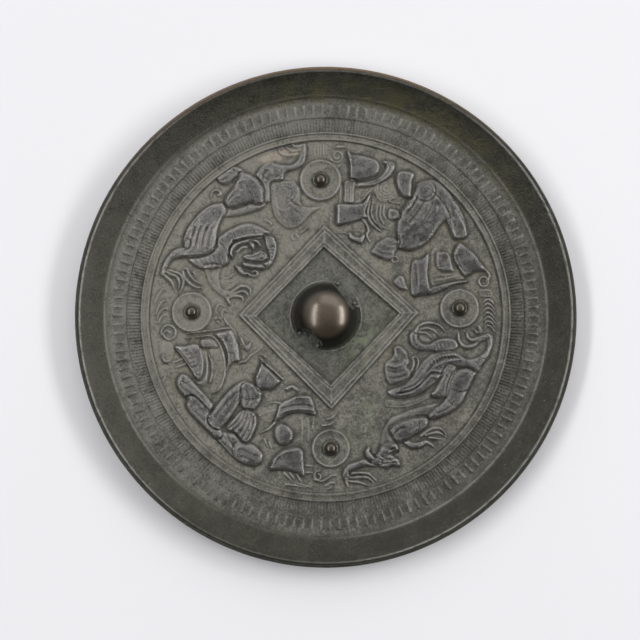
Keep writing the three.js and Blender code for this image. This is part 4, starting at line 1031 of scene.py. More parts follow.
def left_clouds():
    for line in (
        [(-68.6, 5.4), (-67.2, 8.4), (-65.6, 10.6), (-64.4, 10.8)],
        [(-68, 0.8), (-67, 3.8), (-65.4, 5.8), (-63.8, 6)],
        [(-67.6, -1), (-66.4, 1.6), (-64.8, 3), (-63.6, 2.8)],
        [(-67, -2.6), (-65.8, -0.4), (-64.2, 0.4)],
        [(-44, 0.4), (-44, 2.6), (-43, 4.4), (-41.6, 4.4)],
        [(-41.6, -0.4), (-41.6, 1.4), (-40.6, 2.6), (-39.6, 1.8)],
        [(-40.6, -1), (-39.4, -3), (-38, -4.4)],
    ):
        bar(line, [0.7, 1.1, 0.8], 0.55, moat=0)
    for x, y in ((-44, -0.9), (-42.5, -1), (-43.4, -2.4)):
        bar([(x, y), (x + 0.2, y)], 1.2, 0.6, moat=0)


left_hangings()
left_attendant()
left_clouds()

# %% [markdown]
# ## Wear and unevenness
# Nothing cast and buried is even. A soft unevenness goes over the whole sheet, the ground between the
# figures is rougher than their rubbed tops, and one patch at the lower right is eaten by corrosion.

# %% Wear and unevenness
RUBBED_HEIGHT = 0.9
ROTTEN_X, ROTTEN_Y = (15, 9), (-40, 11)
RELIEF_END, RELIEF_FADE = 71.0, 0.6

top = np.clip(relief / RUBBED_HEIGHT, 0, 1)
relief += 0.07 * uneven(6.0, 3) + 0.04 * uneven(2.2, 4)
relief += (0.075 - 0.05 * top) * uneven(0.9, 5)
away_x = (SHEET_X - ROTTEN_X[0]) / ROTTEN_X[1]
away_y = (SHEET_Y - ROTTEN_Y[0]) / ROTTEN_Y[1]
rotten = np.exp(-(away_x**2 + away_y**2) * 1.3)
relief += rotten * (0.16 * uneven(1.3, 6) + 0.14 * uneven(0.6, 7))
relief *= np.clip((RELIEF_END - np.hypot(SHEET_X, SHEET_Y)) / RELIEF_FADE, 0, 1)
print("relief from", round(relief.min(), 2), "to", round(relief.max(), 2), "mm")

# %% [markdown]
# ## From sheet to solid
# A grid takes the heights, its corners outside the ring are deleted, its border is drawn down and
# closed, and Decimate thins it where it is flat. The field alone keeps most of the detail budget.

# %% The field as a solid
SHEET_EDGE = 71.3
SHEET_THICK = 1.6
SHEET_TRIANGLES = 109000


def field_piece():
    bpy.ops.object.select_all(action="DESELECT")
    cells = len(axis) - 1
    bpy.ops.mesh.primitive_grid_add(
        x_subdivisions=cells, y_subdivisions=cells, size=2 * SHEET_HALF * MM, location=(0, 0, 0)
    )
    piece = bpy.context.object
    points = coordinates(piece) / MM
    column = np.rint((points[:, 0] + SHEET_HALF) / SHEET_STEP).astype(int)
    row = np.rint((points[:, 1] + SHEET_HALF) / SHEET_STEP).astype(int)
    points[:, 2] = FIELD + relief[row, column]
    set_coordinates(piece, placed(points))
    middles = np.empty(len(piece.data.polygons) * 3)
    piece.data.polygons.foreach_get("center", middles)
    middles = middles.reshape(-1, 3)
    bpy.ops.object.mode_set(mode="EDIT")
    bpy.ops.mesh.select_mode(type="FACE")
    bpy.ops.mesh.select_all(action="DESELECT")
    bpy.ops.object.mode_set(mode="OBJECT")
    beyond = np.hypot(middles[:, 0], middles[:, 1]) > SHEET_EDGE * MM
    piece.data.polygons.foreach_set("select", beyond)
    bpy.ops.object.mode_set(mode="EDIT")
    bpy.ops.mesh.delete(type="FACE")
    bpy.ops.mesh.select_mode(type="EDGE")
    bpy.ops.mesh.select_non_manifold()
    bpy.ops.mesh.extrude_region_move(TRANSFORM_OT_translate={"value": (0, 0, -SHEET_THICK * MM)})
    bpy.ops.mesh.edge_face_add()
    bpy.ops.mesh.select_all(action="SELECT")
    bpy.ops.mesh.quads_convert_to_tris()
    bpy.ops.mesh.normals_make_consistent(inside=False)
    bpy.ops.object.mode_set(mode="OBJECT")
    alone(piece)
    modifier = piece.modifiers.new("thin", "DECIMATE")
    modifier.ratio = SHEET_TRIANGLES / count(piece)
    bpy.ops.object.modifier_apply(modifier=modifier.name)
    return piece


field = field_piece()
print("field:", count(field), "triangles")
combine(casting, field)

# %% [markdown]
# ## Comb band and tooth band
# Both bands are rings spun in enough steps to give every stroke its own corners. The top corners are
# then lifted and lowered round the ring, because the strokes are uneven and rubbed almost flat in
# places.

# %% Comb band
COMB_STROKES = 384
COMB_CORNERS = 4
COMB_PROFILE = [
    (70.6, 2.4),
    (70.6, 4.05),
    (70.95, 4.5),
    (71.4, 4.52),
    (71.95, 3.95),
    (73.1, 3.95),
    (73.55, 4.5),
    (73.95, 4.5),
    (74.4, 3.95),
    (76.8, 4.2),
    (79.3, 4.4),
    (79.9, 4.3),
    (79.9, 2.9),
]
COMB_SPAN = (74.3, 79.6)
COMB_WAVE = [-0.34, 0.0, 0.2, 0.0]
BAND_TOPS = 3.5


def wear_round(angle, seed, parts):
    """Slow random change round a ring, from 0 to 1."""
    draw = np.random.RandomState(seed).uniform(0, 1, parts)
    place = (angle / (2 * math.pi) % 1) * parts
    whole = place.astype(int) % parts
    t = place - np.floor(place)
    t = t * t * (3 - 2 * t)
    return draw[whole] * (1 - t) + draw[(whole + 1) % parts] * t


def comb_band():
    """A ring whose top corners rise and fall, stroke after stroke."""
    piece = turned_piece("comb", COMB_PROFILE + COMB_PROFILE[:1], COMB_STROKES * COMB_CORNERS, True)
    points = coordinates(piece) / MM
    radius = np.hypot(points[:, 0], points[:, 1])
    angle = np.arctan2(points[:, 1], points[:, 0])
    step = np.rint(angle / (2 * math.pi) * COMB_STROKES * COMB_CORNERS).astype(int)
    phase = step % COMB_CORNERS
    number = step // COMB_CORNERS % COMB_STROKES
    draw = np.random.RandomState(11).uniform(0, 1, COMB_STROKES)
    strength = 0.45 + 0.55 * draw[number] * (0.4 + 0.6 * wear_round(angle, 12, 23))
    wave = np.array(COMB_WAVE)[phase]
    stroke = (radius > COMB_SPAN[0]) & (radius < COMB_SPAN[1]) & (points[:, 2] > BAND_TOPS)
    points[:, 2] += stroke * wave * strength
    set_coordinates(piece, points * MM)
    return piece


comb = comb_band()
print("comb band:", count(comb), "triangles")
combine(casting, comb)

# %% Tooth band
TEETH = 146
TOOTH_CORNERS = 8
TOOTH_PROFILE = [
    (79.7, 3.0),
    (79.75, 4.75),
    (80.2, 4.9),
    (80.8, 4.9),
    (82.0, 4.9),
    (83.6, 4.9),
    (84.9, 4.9),
    (85.3, 4.9),
    (85.7, 4.9),
    (85.7, 4.2),
]
TOOTH_ROOT, TOOTH_END = 80.6, 85.2
TOOTH_REACH = 4.6
TOOTH_GAP = 0.12


def tooth_band():
    """A ring with wedge teeth that grow broader outwards and differ in height."""
    piece = turned_piece("teeth", TOOTH_PROFILE + TOOTH_PROFILE[:1], TEETH * TOOTH_CORNERS, True)
    points = coordinates(piece) / MM
    radius = np.hypot(points[:, 0], points[:, 1])
    angle = np.arctan2(points[:, 1], points[:, 0])
    step = np.rint(angle / (2 * math.pi) * TEETH * TOOTH_CORNERS).astype(int)
    across = ((step % TOOTH_CORNERS) - TOOTH_CORNERS / 2) / (TOOTH_CORNERS / 2)
    number = step // TOOTH_CORNERS % TEETH
    draw = np.random.RandomState(21).uniform(0, 1, (3, TEETH))
    high = 0.4 + 0.95 * draw[0][number] * (0.25 + 0.75 * wear_round(angle, 22, 17))
    part = np.clip((radius - TOOTH_ROOT) / TOOTH_REACH, 0, 1)
    broad = 0.26 + 0.3 * part
    wedge = np.clip(1 - np.abs(across) / broad, 0, 1)
    wedge = wedge * np.clip(part * 3, 0, 1) * (radius < TOOTH_END)
    lifted = (points[:, 2] > 4.6) & (radius > 80.5)
    points[:, 2] += lifted * (high * wedge - TOOTH_GAP * (radius < TOOTH_END))
    set_coordinates(piece, points * MM)
    return piece


teeth = tooth_band()
print("tooth band:", count(teeth), "triangles")
combine(casting, teeth)

# %% [markdown]
# ## Knob and nipples
# The knob is a half ball with an arched tunnel right through, made for the cord by which the mirror was
# held or hung. The tunnel was formed by a core of clay, so its two mouths are ragged.

# %% Knob
KNOB_RADIUS = 13.4
KNOB_TOP = 14.95
KNOB_SINK = 0.2
FOOT_FLARE = 0.015
FOOT_BAND = 1.2


def knob_piece():
    """A ball whose upper half is drawn up to the knob's height and whose lower half is pressed flat."""
    bpy.ops.object.select_all(action="DESELECT")
    bpy.ops.mesh.primitive_uv_sphere_add(segments=128, ring_count=64, radius=KNOB_RADIUS * MM)
    piece = bpy.context.object
    points = coordinates(piece) / MM
    high = points[:, 2] > 0
    points[:, 2] *= np.where(high, (KNOB_TOP - FIELD + KNOB_SINK) / KNOB_RADIUS, 0.1)
    points[:, 2] += FIELD - KNOB_SINK
    foot = np.clip(1 - np.abs(points[:, 2] - FIELD) / FOOT_BAND, 0, 1)
    points[:, :2] *= 1 + FOOT_FLARE * foot[:, None]
    set_coordinates(piece, points * MM)
    return piece


TUNNEL_HALF = 5.2
TUNNEL_LENGTH = 44
TUNNEL_DRIFT = 0.12
RAGGEDNESS = 0.22


def tunnel_piece():
    """The arched hole, which widens toward its mouths and runs a little askew."""
    bpy.ops.object.select_all(action="DESELECT")
    bpy.ops.mesh.primitive_cylinder_add(
        vertices=40, radius=1 * MM, depth=TUNNEL_LENGTH * MM, rotation=(0, math.pi / 2, 0)
    )
    piece = bpy.context.object
    bpy.ops.object.transform_apply(location=True, rotation=True, scale=True)
    bpy.ops.object.mode_set(mode="EDIT")
    bpy.ops.mesh.select_all(action="SELECT")
    for place in np.arange(-20, 20.5, 1.0):
        bpy.ops.mesh.select_all(action="SELECT")
        bpy.ops.mesh.bisect(plane_co=(place * MM, 0, 0), plane_no=(1, 0, 0))
    bpy.ops.object.mode_set(mode="OBJECT")
    points = coordinates(piece) / MM
    turn = np.arctan2(points[:, 2], points[:, 1])
    out = np.clip((np.abs(points[:, 0]) - 8) / 6, 0, 1)
    ragged = np.sin(3 * turn + points[:, 0] * 0.7) + np.sin(7 * turn - points[:, 0] * 1.3)
    wide = TUNNEL_HALF + 0.9 * out + RAGGEDNESS * ragged
    tall = TUNNEL_HALF + 0.7 * out + RAGGEDNESS * ragged
    points[:, 1] = wide * np.cos(turn) + TUNNEL_DRIFT * points[:, 0]
    points[:, 2] = FIELD + 0.25 + np.maximum(tall * np.sin(turn), -1.2)
    set_coordinates(piece, points * MM)
    return piece


# The ragged lip of each mouth, seen from above, and how far it draws in at its foot.
FAR_LIP = [(20, 5.9), (12.2, 5.9), (11.6, 3.6), (10.7, 0.8), (10.1, -1.6),
           (9.1, -4.7), (9.5, -7), (10.6, -8), (20, -8)]
NEAR_LIP = [(-20, -7.6), (-10.4, -7.5), (-9.3, -5.8), (-9.4, -3.4), (-9, -1.3),
            (-8.4, 1.2), (-10.3, 3.1), (-12.2, 5), (-20, 5)]
LIP_LEAN = 0.86


def mouth_piece(lip):
    """A block that takes away the side of the knob over one mouth of the tunnel."""
    bpy.ops.object.select_all(action="DESELECT")
    bpy.ops.mesh.primitive_cylinder_add(vertices=len(lip), radius=MM, depth=2 * MM)
    piece = bpy.context.object
    points = coordinates(piece)
    bearing = -np.arctan2(points[:, 0], points[:, 1]) % (2 * math.pi)
    place = np.rint(bearing / (2 * math.pi) * len(lip)).astype(int) % len(lip)
    lip = np.array(lip, float)[place]
    low = points[:, 2] < 0
    lean = np.where(low & (np.abs(lip[:, 0]) < 19), LIP_LEAN, 1)
    points[:, 0] = lip[:, 0] * lean * MM
    points[:, 1] = lip[:, 1] * np.where(low, 0.9, 1) * MM
    points[:, 2] = np.where(low, FIELD - 1, 16) * MM
    set_coordinates(piece, points)
    return piece


knob = knob_piece()
combine(knob, tunnel_piece(), "DIFFERENCE")
for lip in (FAR_LIP, NEAR_LIP):
    combine(knob, mouth_piece(lip), "DIFFERENCE")
print("knob:", count(knob), "triangles")
combine(casting, knob)

# %% Nipples
NIPPLE_PROFILE = [
    (0, 2.9),
    (2.55, 2.9),
    (2.6, 4.9),
    (2.5, 5.7),
    (2.2, 6.5),
    (1.7, 7.05),
    (1.1, 7.35),
    (0.5, 7.5),
    (0, 7.52),
]
for place, middle in enumerate(NIPPLES):
    nipple = turned_piece(f"nipple_{place}", NIPPLE_PROFILE, 40)
    points = coordinates(nipple)
    points[:, :2] += placed((*middle, 0))[:2]
    set_coordinates(nipple, points)
    combine(casting, nipple)
print("casting:", count(casting), "triangles")

# %% [markdown]
# ## One casting
# The joined solid gets smooth shading with its sharp edges kept. Points that the joins left almost on
# top of each other are merged first, because they would show as small dark creases.

# %% Smooth shading
SHARP_ANGLE = math.radians(50)

alone(casting)
bpy.ops.object.mode_set(mode="EDIT")
bpy.ops.mesh.select_all(action="SELECT")
bpy.ops.mesh.remove_doubles(threshold=5e-6)
bpy.ops.mesh.dissolve_degenerate(threshold=1e-6)
bpy.ops.object.mode_set(mode="OBJECT")
bpy.ops.object.shade_smooth_by_angle(angle=SHARP_ANGLE)

# %% [markdown]
# ## What time did to each corner, and where shade and light are painted
# A hand rubs what stands out, and soil stays in what lies deep. So each corner of the mesh is told how
# high it stands, how deep it lies in a hollow, which zone it belongs to, where it is rubbed or soiled,
# where painted shade darkens it and where it carries a painted highlight.
# The values are stored as attributes, from 0 to 1, and the material reads them by name.

# %% Helpers for surface values
def blurred(values, reach):
    """A running mean along both directions of the sheet, twice over."""
    cells = max(int(reach / SHEET_STEP), 1)
    for _ in range(2):
        for side in (0, 1):
            total = np.cumsum(np.pad(values, [(cells + 1, cells)] * 2, mode="edge"), axis=side)
            span = 2 * cells + 1
            values = np.take(total, range(span, total.shape[side]), side)
            values = values - np.take(total, range(0, total.shape[side] - span), side)
            values = values / span
            keep = [slice(None)] * 2
            keep[1 - side] = slice(cells + 1, -cells)
            values = values[tuple(keep)]
    return values


def sampled(values, points):
    """The sheet's value at each corner of the casting."""
    place = np.clip((points[:, :2] + SHEET_HALF) / SHEET_STEP, 0, len(axis) - 2)
    whole = place.astype(int)
    t = place - whole
    column, row = whole[:, 0], whole[:, 1]
    near = values[row, column] * (1 - t[:, 0]) + values[row, column + 1] * t[:, 0]
    far = values[row + 1, column] * (1 - t[:, 0]) + values[row + 1, column + 1] * t[:, 0]
    return near * (1 - t[:, 1]) + far * t[:, 1]


def as_laid_out(piece):
    """The casting's corners in millimetres, turned back to how the design is laid out."""
    points = coordinates(piece) / MM
    back = points.copy()
    back[:, 0] = points[:, 0] * math.cos(SLANT) - points[:, 1] * math.sin(SLANT)
    back[:, 1] = points[:, 0] * math.sin(SLANT) + points[:, 1] * math.cos(SLANT)
    return back


def give(piece, name, values):
    attribute = piece.data.attributes.new(name, "FLOAT", "POINT")
    attribute.data.foreach_set("value", np.clip(values, 0, 1).astype(np.float32))


def rising(values, low, high):
    """A smooth step from 0 at low up to 1 at high."""
    t = np.clip((values - low) / (high - low), 0, 1)
    return t * t * (3 - 2 * t)


def fading(values, full, gone):
    """A smooth step from 1 at full down to 0 at gone."""
    return rising(-values, -gone, -full)


laid_out = as_laid_out(casting)
across, along, tall = laid_out.T
radius = np.hypot(across, along)
bearing = np.degrees(np.arctan2(along, across))
print("corners with surface values:", len(laid_out))


def line_round(ring, width):
    """A soft line round the mirror, 1 on its ring."""
    return np.exp(-(((radius - ring) / width) ** 2))


def blot(x, y, wide):
    """A soft spot, 1 at its middle."""
    return np.exp(-(((across - x) / wide) ** 2) - ((along - y) / wide) ** 2)


# %% How high and how hollow
FIELD_REACH = 70.6
GROUND_LEVEL = 3
FULL_RELIEF = 1.6
HOLLOW_REACH, HOLLOW_DEPTH = 2.2, 0.8
CREASE_REACH, CREASE_DEPTH = 0.75, 0.25
SHADED_RINGS = ((70.7, 0.6), (72.5, 0.5), (74.35, 0.4), (79.9, 0.2))
DARK_WIDTH = 0.45
GAP_INNER, GAP_OUTER, GAP_LEVEL, GAP_SHADE = 80.9, 85, 4.84, 0.3


def valley(reach, depth):
    """How far a corner of the field lies below what is round it, 1 at the given depth."""
    below = sampled(blurred(relief, reach) - relief, laid_out)
    return np.where(on_field, below / depth, 0)


on_field = (radius < FIELD_REACH) & (tall > GROUND_LEVEL)
give(casting, "raised", np.where(on_field, sampled(relief, laid_out) / FULL_RELIEF, 0))
give(casting, "hollow", valley(HOLLOW_REACH, HOLLOW_DEPTH))
# Painted shade: this value darkens the foot of each form, the grooves beside the comb band and the gaps
# between the teeth.
crease_shade = valley(CREASE_REACH, CREASE_DEPTH)
for ring, dark in SHADED_RINGS:
    crease_shade = np.maximum(crease_shade, dark * line_round(ring, DARK_WIDTH))
between_teeth = (radius > GAP_INNER) & (radius < GAP_OUTER) & (tall > GROUND_LEVEL) & (tall < GAP_LEVEL)
crease_shade = np.maximum(crease_shade, GAP_SHADE * between_teeth)
give(casting, "crease_shade", crease_shade)
print("corners in a crease:", int((crease_shade > 0.5).sum()))

# %% Zones
RIM_START = (85.6, 88.5)
BANDS_START, BANDS_END = (73.4, 74.6), (85.4, 88.4)
NIPPLE_POLISH = 0.74
NIPPLE_EDGE = (2.5, 3.1)

in_square = sampled(np.clip(depth_in(SQUARE_INNER) + 0.5, 0, 1), laid_out)
give(casting, "square", np.where(on_field, in_square, 0))
give(casting, "rim", rising(radius, *RIM_START))
give(casting, "bands", rising(radius, *BANDS_START) * fading(radius, *BANDS_END))
# The knob's height from foot to top; the material uses it to paint the flank near black, partly as painted
# shade.
on_knob = (radius < KNOB_RADIUS + 0.6) & (tall > FIELD + 0.4)
polish = np.where(on_knob, (tall - FIELD) / (KNOB_TOP - FIELD), 0)
for middle in NIPPLES:
    gap = np.hypot(across - middle[0], along - middle[1])
    polish = np.maximum(polish, NIPPLE_POLISH * fading(gap, *NIPPLE_EDGE))
give(casting, "knob", polish)
print("corners on the knob:", int(on_knob.sum()))

# %% [markdown]
# ## Worn edges, painted highlights, soil and corrosion
# Rubbing brightens what is both high and narrow: the crests of the relief, the tips of the teeth and the
# rings beside the comb band, and part of that light is painted highlight. The fillet at the foot of the
# rim and its lip carry a painted highlight, brightest on the left and right, toward the two long lights.
# The rest is what the ground left: copper on the upper lip, a pocket of tan soil, olive bloom on the
# upper right of the rim, and green spots.

# %% Worn edges and painted highlights
CREST_REACH, CREST_DEPTH = 0.6, 0.3
TIP_LEVEL, TIP_SPAN = 4.95, 0.6
FILLET, LIP, EDGE_WIDTH = 88.4, 97.8, 0.45
BAND_RINGS, RING_WIDTH, RING_WEAR_AND_HIGHLIGHT = (71.2, 73.75), 0.28, 0.6

# Lighter crests: rubbed metal, partly painted highlight.
wear_and_highlight = np.where(on_field, sampled(relief - blurred(relief, CREST_REACH), laid_out) / CREST_DEPTH, 0)
on_teeth = (radius > TOOTH_ROOT) & (radius < TOOTH_END)
wear_and_highlight = np.maximum(wear_and_highlight, np.where(on_teeth, (tall - TIP_LEVEL) / TIP_SPAN, 0))
# Painted highlight: the fillet and lip lines are made brighter on the sides that face the two long lights.
toward_right_light = rising(np.cos(np.radians(bearing + 15)), 0.2, 0.7)
toward_left_light = rising(-np.cos(np.radians(bearing)), 0.5, 0.9)
wear_and_highlight += (0.12 + 0.5 * toward_right_light + 0.35 * toward_left_light) * line_round(FILLET, EDGE_WIDTH)
for ring in BAND_RINGS:
    wear_and_highlight += RING_WEAR_AND_HIGHLIGHT * line_round(ring, RING_WIDTH)
wear_and_highlight += (0.2 + 0.7 * toward_right_light + 0.7 * toward_left_light) * line_round(LIP, EDGE_WIDTH)
give(casting, "wear_and_highlight", wear_and_highlight)
print("corners worn bright:", int((wear_and_highlight > 0.5).sum()))

# %% Soil and corrosion
PALE_BEARING = 150
COPPER_BEARING, POCKET_BEARING, OLIVE_BEARING = 95, 106, 72
LIP_START = (98.1, 98.8)
POCKET_RADIUS, POCKET_TOP = 67.4, 4.4
OLIVE_START, OLIVE_END = (84, 88), (91, 97.5)
GREEN_SPOTS = ((17, -37.7, 2.4, 1), (13, -9, 8, 0.6), (11, -48, 6, 0.35))


def away_from(middle):
    """How many degrees round the mirror a corner is from a bearing."""
    return np.abs(bearing - middle)


toward_pale = np.cos(np.radians(bearing - PALE_BEARING))
give(casting, "pale", 0.5 + 0.5 * toward_pale * np.clip(radius / 60, 0.3, 1))
give(casting, "copper", rising(radius, *LIP_START) * fading(away_from(COPPER_BEARING), 15, 62))
pocket = fading(away_from(POCKET_BEARING), 5, 9) * fading(np.abs(radius - POCKET_RADIUS), 1.2, 2.4)
give(casting, "soil", np.where(tall < POCKET_TOP, pocket, 0.15 * pocket))
olive = rising(radius, *OLIVE_START) * fading(radius, *OLIVE_END)
give(casting, "olive", olive * fading(away_from(OLIVE_BEARING), 18, 52))
give(casting, "green", sum(strength * blot(x, y, wide) for x, y, wide, strength in GREEN_SPOTS))
print("surface values:", ", ".join(a.name for a in casting.data.attributes if a.data_type == "FLOAT"))

# %% [markdown]
# ## The bronze
# Old bronze is a dark metal under a thin skin. The ground of the field is dull, because pale soil clings
# to its grain. The tops of the figures, the rim and the knob were rubbed smooth and show more metal.
# So the finish is layered by where a spot lies: how high it stands, how hollow it is, and which zone of
# the mirror it belongs to. The zones are values on the corners, and the rest is noise in the solid.
# Painted shade darkens the creases, the grooves, the gaps between the teeth and the flank of the knob,
# and painted highlights lighten the crests and the fillet and lip of the rim.

# %% Shading nodes
bronze = bpy.data.materials.new("bronze")
bronze.use_nodes = True
nodes = bronze.node_tree.nodes
links = bronze.node_tree.links
shader = nodes["Principled BSDF"]


def node(kind, **settings):
    made = nodes.new(kind)
    for name, setting in settings.items():
        setattr(made, name, setting)
    return made


place_out = node("ShaderNodeTexCoord")


def feed(made, name, kind, source):
    """Link a source, or set a plain number or colour on the socket itself."""
    socket = [s for s in made.inputs if s.name == name and s.type == kind][0]
    if isinstance(source, tuple):
        socket.default_value = (*source, 1)
    elif isinstance(source, (int, float)):
        socket.default_value = source
    else:
        links.new(source, socket)


def noise(scale, detail=4, rough=0.6, twist=0.0):
    made = node("ShaderNodeTexNoise")
    settings = (("Scale", scale), ("Detail", detail), ("Roughness", rough), ("Distortion", twist))
    for name, number in settings:
        made.inputs[name].default_value = number
    links.new(place_out.outputs["Object"], made.inputs["Vector"])
    return made.outputs["Fac"]


def value(name):
    return node("ShaderNodeAttribute", attribute_name=name).outputs["Fac"]


def spread(source, low, high, to_low=0.0, to_high=1.0):
    made = node("ShaderNodeMapRange", interpolation_type="SMOOTHSTEP")
    for name, number in (("From Min", low), ("From Max", high), ("To Min", to_low), ("To Max", to_high)):
        made.inputs[name].default_value = number
    links.new(source, made.inputs["Value"])
    return made.outputs["Result"]


def join(kind, first, second):
    made = node("ShaderNodeMath", operation=kind)
    for index, source in enumerate((first, second)):
        if isinstance(source, (int, float)):
            made.inputs[index].default_value = source
        else:
            links.new(source, made.inputs[index])
    return made.outputs[0]


def layer(amount, below, above, kind="RGBA"):
    """One colour or number that passes into another as the amount rises."""
    made = node("ShaderNodeMix", data_type="RGBA" if kind == "RGBA" else "FLOAT")
    feed(made, "Factor", "VALUE", amount)
    feed(made, "A", kind, below)
    feed(made, "B", kind, above)
    return [s for s in made.outputs if s.type == kind][0]


def blend(amount, below, above):
    return layer(amount, below, above, "VALUE")


# %% Colours of the bronze
GROUND, GROUND_PALE = (0.055, 0.053, 0.042), (0.176, 0.168, 0.138)
TOPS, TOPS_WORN = (0.06, 0.058, 0.055), (0.15, 0.143, 0.133)
BAND, BAND_PALE = (0.048, 0.047, 0.038), (0.158, 0.152, 0.132)
SQUARE, SQUARE_PALE = (0.04, 0.04, 0.031), (0.112, 0.111, 0.093)
RIM, RIM_PALE = (0.022, 0.021, 0.014), (0.048, 0.046, 0.035)
KNOB, KNOB_FOOT_PATINA_AND_SHADE = (0.078, 0.06, 0.04), (0.014, 0.013, 0.008)
# On the next line, the second colour is painted shade for creases and grooves and also the dark of small
# pits; the third is rubbed metal and painted highlight.
SOIL, GRIME_AND_SHADE, WEAR_AND_HIGHLIGHT = (0.2, 0.172, 0.11), (0.018, 0.018, 0.012), (0.27, 0.262, 0.243)
COPPER, GREEN, PINK_SOIL = (0.15, 0.107, 0.068), (0.14, 0.16, 0.1), (0.3, 0.25, 0.2)
OLIVE = (0.06, 0.056, 0.024)

streaks = noise(300, 5, 0.65, 0.5)
raised_at, hollow_at, crease_shade_at = value("raised"), value("hollow"), value("crease_shade")
square_at, rim_at, knob_at, bands_at = value("square"), value("rim"), value("knob"), value("bands")
wear_and_highlight_at = join("MULTIPLY", value("wear_and_highlight"), spread(streaks, 0.3, 0.55, 0.35, 0.9))
soil_at, copper_at, green_at = value("soil"), value("copper"), value("green")

clouds = noise(26, 5)
patches = noise(110, 6, 0.65)
specks = noise(900, 3)
fine = noise(1300, 3, 0.7)
mottle = join("ADD", join("MULTIPLY", patches, 0.3), join("MULTIPLY", streaks, 0.3))
mottle = join("ADD", mottle, join("MULTIPLY", fine, 0.4))
mottle = join("ADD", mottle, spread(value("pale"), 0.0, 1.0, -0.036, 0.045))
on_top = spread(raised_at, 0.25, 0.75)

colour = layer(spread(mottle, 0.4, 0.58), GROUND, GROUND_PALE)
colour = layer(on_top, colour, layer(spread(mottle, 0.43, 0.62), TOPS, TOPS_WORN))
colour = layer(square_at, colour, layer(spread(mottle, 0.41, 0.59), SQUARE, SQUARE_PALE))
colour = layer(bands_at, colour, layer(spread(mottle, 0.41, 0.61), BAND, BAND_PALE))
colour = layer(rim_at, colour, layer(spread(mottle, 0.4, 0.62), RIM, RIM_PALE))
colour = layer(join("MULTIPLY", hollow_at, spread(clouds, 0.48, 0.64, 0, 0.6)), colour, SOIL)
# Painted shade in creases, grooves and between the teeth.
colour = layer(join("MULTIPLY", crease_shade_at, spread(streaks, 0.25, 0.6, 1, 0.68)), colour, GRIME_AND_SHADE)
# Lighter crests, tooth tips and rings, partly painted highlight, and the painted highlights on the rim's
# fillet and lip.
colour = layer(wear_and_highlight_at, colour, WEAR_AND_HIGHLIGHT)
colour = layer(join("MULTIPLY", spread(specks, 0.66, 0.74), 0.35), colour, PINK_SOIL)
colour = layer(join("MULTIPLY", spread(specks, 0.36, 0.3), 0.5), colour, GRIME_AND_SHADE)
colour = layer(join("MULTIPLY", soil_at, spread(mottle, 0.38, 0.6, 0.15, 0.75)), colour, PINK_SOIL)
colour = layer(join("MULTIPLY", value("olive"), spread(patches, 0.42, 0.58, 0.1, 0.8)), colour, OLIVE)
colour = layer(join("MULTIPLY", green_at, spread(streaks, 0.42, 0.55)), colour, GREEN)
colour = layer(join("MULTIPLY", copper_at, spread(mottle, 0.36, 0.5, 0.35, 0.85)), colour, COPPER)
# Painted shade: the knob's flank is painted near black over its dark patina, below the brown rubbed cap, and
# the nipples are a mix of this dark and the cap's brown.
colour = layer(spread(knob_at, 0.0, 0.3), colour, KNOB_FOOT_PATINA_AND_SHADE)
colour = layer(spread(knob_at, 0.66, 0.82), colour, KNOB)
links.new(colour, shader.inputs["Base Color"])

# %% Metal, gloss and grain
COAT_ROUGHNESS = 0.19
GRAIN_DEPTH = 0.0006

metal = blend(on_top, 0.3, 0.72)
metal = blend(join("MAXIMUM", square_at, bands_at), metal, 0.5)
metal = blend(rim_at, metal, 0.6)
metal = blend(wear_and_highlight_at, metal, 0.85)
metal = blend(soil_at, metal, 0.0)
polished = spread(knob_at, 0.0, 0.2)
links.new(blend(polished, metal, 0.6), shader.inputs["Metallic"])
links.new(blend(polished, 0.0, 0.6), shader.inputs["Coat Weight"])
shader.inputs["Coat Roughness"].default_value = COAT_ROUGHNESS

gloss = blend(on_top, spread(streaks, 0.35, 0.65, 0.46, 0.66), spread(streaks, 0.35, 0.65, 0.25, 0.42))
gloss = blend(square_at, gloss, spread(streaks, 0.35, 0.65, 0.42, 0.56))
gloss = blend(rim_at, gloss, spread(streaks, 0.35, 0.65, 0.3, 0.48))
gloss = blend(wear_and_highlight_at, gloss, 0.28)
gloss = blend(soil_at, gloss, 0.8)
links.new(blend(polished, gloss, spread(patches, 0.35, 0.65, 0.26, 0.38)), shader.inputs["Roughness"])

grain = join("ADD", join("MULTIPLY", fine, 0.8), join("MULTIPLY", streaks, 0.7))
bump = node("ShaderNodeBump")
bump.inputs["Distance"].default_value = GRAIN_DEPTH
links.new(blend(polished, blend(on_top, 0.7, 0.5), 0.08), bump.inputs["Strength"])
links.new(grain, bump.inputs["Height"])
links.new(bump.outputs["Normal"], shader.inputs["Normal"])
casting.data.materials.clear()
casting.data.materials.append(bronze)
print("shading nodes:", len(nodes))

# %% [markdown]
# ## Floor and light
# The floor is plain and pale. Two long soft lights stand left and right, so that every shoulder of the
# relief that leans their way gets a bright edge, and a broad weak one stands beyond the mirror's top.

# %% Floor and lights
FLOOR_SIZE = 6
PAPER, PAPER_ROUGHNESS = (0.722, 0.714, 0.732, 1), 0.9

bpy.ops.object.select_all(action="DESELECT")
bpy.ops.mesh.primitive_plane_add(size=FLOOR_SIZE, location=(0, 0, 0))
floor = bpy.context.object
floor.name = "floor"
paper = bpy.data.materials.new("paper")
paper.use_nodes = True
paper_shader = paper.node_tree.nodes["Principled BSDF"]
paper_shader.inputs["Base Color"].default_value = PAPER
paper_shader.inputs["Roughness"].default_value = PAPER_ROUGHNESS
floor.data.materials.append(paper)


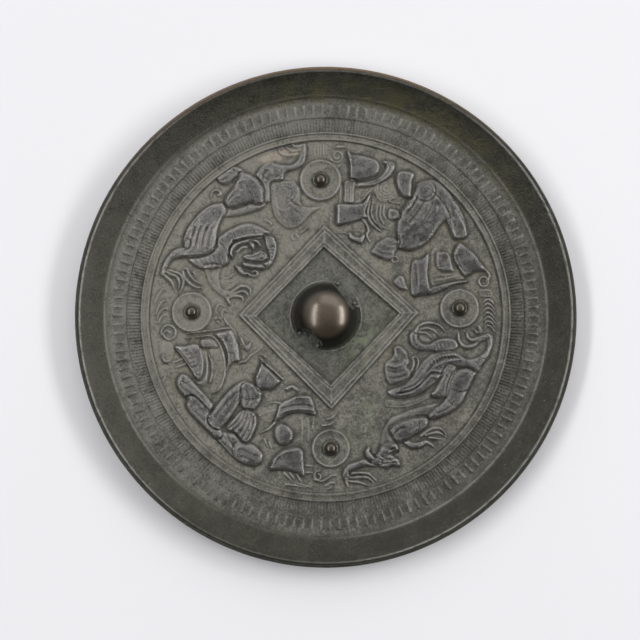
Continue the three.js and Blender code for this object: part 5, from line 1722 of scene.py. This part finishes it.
def soft_light(name, spot, size, power):
    """A rectangular light that is aimed at the middle of the mirror."""
    data = bpy.data.lights.new(name, "AREA")
    data.shape = "RECTANGLE"
    data.size, data.size_y = size
    data.energy = power
    light = bpy.data.objects.new(name, data)
    bpy.context.scene.collection.objects.link(light)
    light.location = placed(spot)
    aim = -light.location.normalized()
    light.rotation_euler = aim.to_track_quat("-Z", "Y").to_euler()


soft_light("left_box", spot=(-640, 60, 900), size=(1.3, 0.18), power=6.5)
soft_light("right_box", spot=(1080, 60, 860), size=(1.3, 0.3), power=12)
soft_light("upper_box", spot=(300, 1150, 950), size=(1.4, 0.8), power=5)

# %% Surround
SURROUND_DARK, SURROUND_BRIGHT = 0.07, 0.75
SURROUND_SPAN = (-0.2, 1.0)
SURROUND_TINT = (0.96, 0.98, 1.0, 1)
BRIGHT_ALONG, BRIGHT_UP = 0.85, 0.53


def surround():
    """A room that is bright beyond the mirror's top and dark at its foot."""
    world = bpy.data.worlds.new("studio")
    bpy.context.scene.world = world
    world.use_nodes = True
    tree = world.node_tree
    place = tree.nodes.new("ShaderNodeTexCoord")
    toward = tree.nodes.new("ShaderNodeVectorMath")
    toward.operation = "DOT_PRODUCT"
    tree.links.new(place.outputs["Generated"], toward.inputs[0])
    toward.inputs[1].default_value = (
        math.sin(SLANT) * BRIGHT_ALONG, math.cos(SLANT) * BRIGHT_ALONG, BRIGHT_UP
    )
    ramp = tree.nodes.new("ShaderNodeMapRange")
    ramp.interpolation_type = "SMOOTHSTEP"
    ramp.inputs["From Min"].default_value, ramp.inputs["From Max"].default_value = SURROUND_SPAN
    ramp.inputs["To Min"].default_value = SURROUND_DARK
    ramp.inputs["To Max"].default_value = SURROUND_BRIGHT
    tree.links.new(toward.outputs["Value"], ramp.inputs["Value"])
    background = tree.nodes["Background"]
    background.inputs["Color"].default_value = SURROUND_TINT
    tree.links.new(ramp.outputs["Result"], background.inputs["Strength"])


surround()
bpy.context.scene.view_settings.view_transform = "Standard"
print("surround:", SURROUND_DARK, "to", SURROUND_BRIGHT)

# %% [markdown]
# ## Hand over
# The casting stands for the CAD node, rides on the one body, and takes its finish from the bronze slot.

# %% Hand over
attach(casting, "root")
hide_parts("mirror")
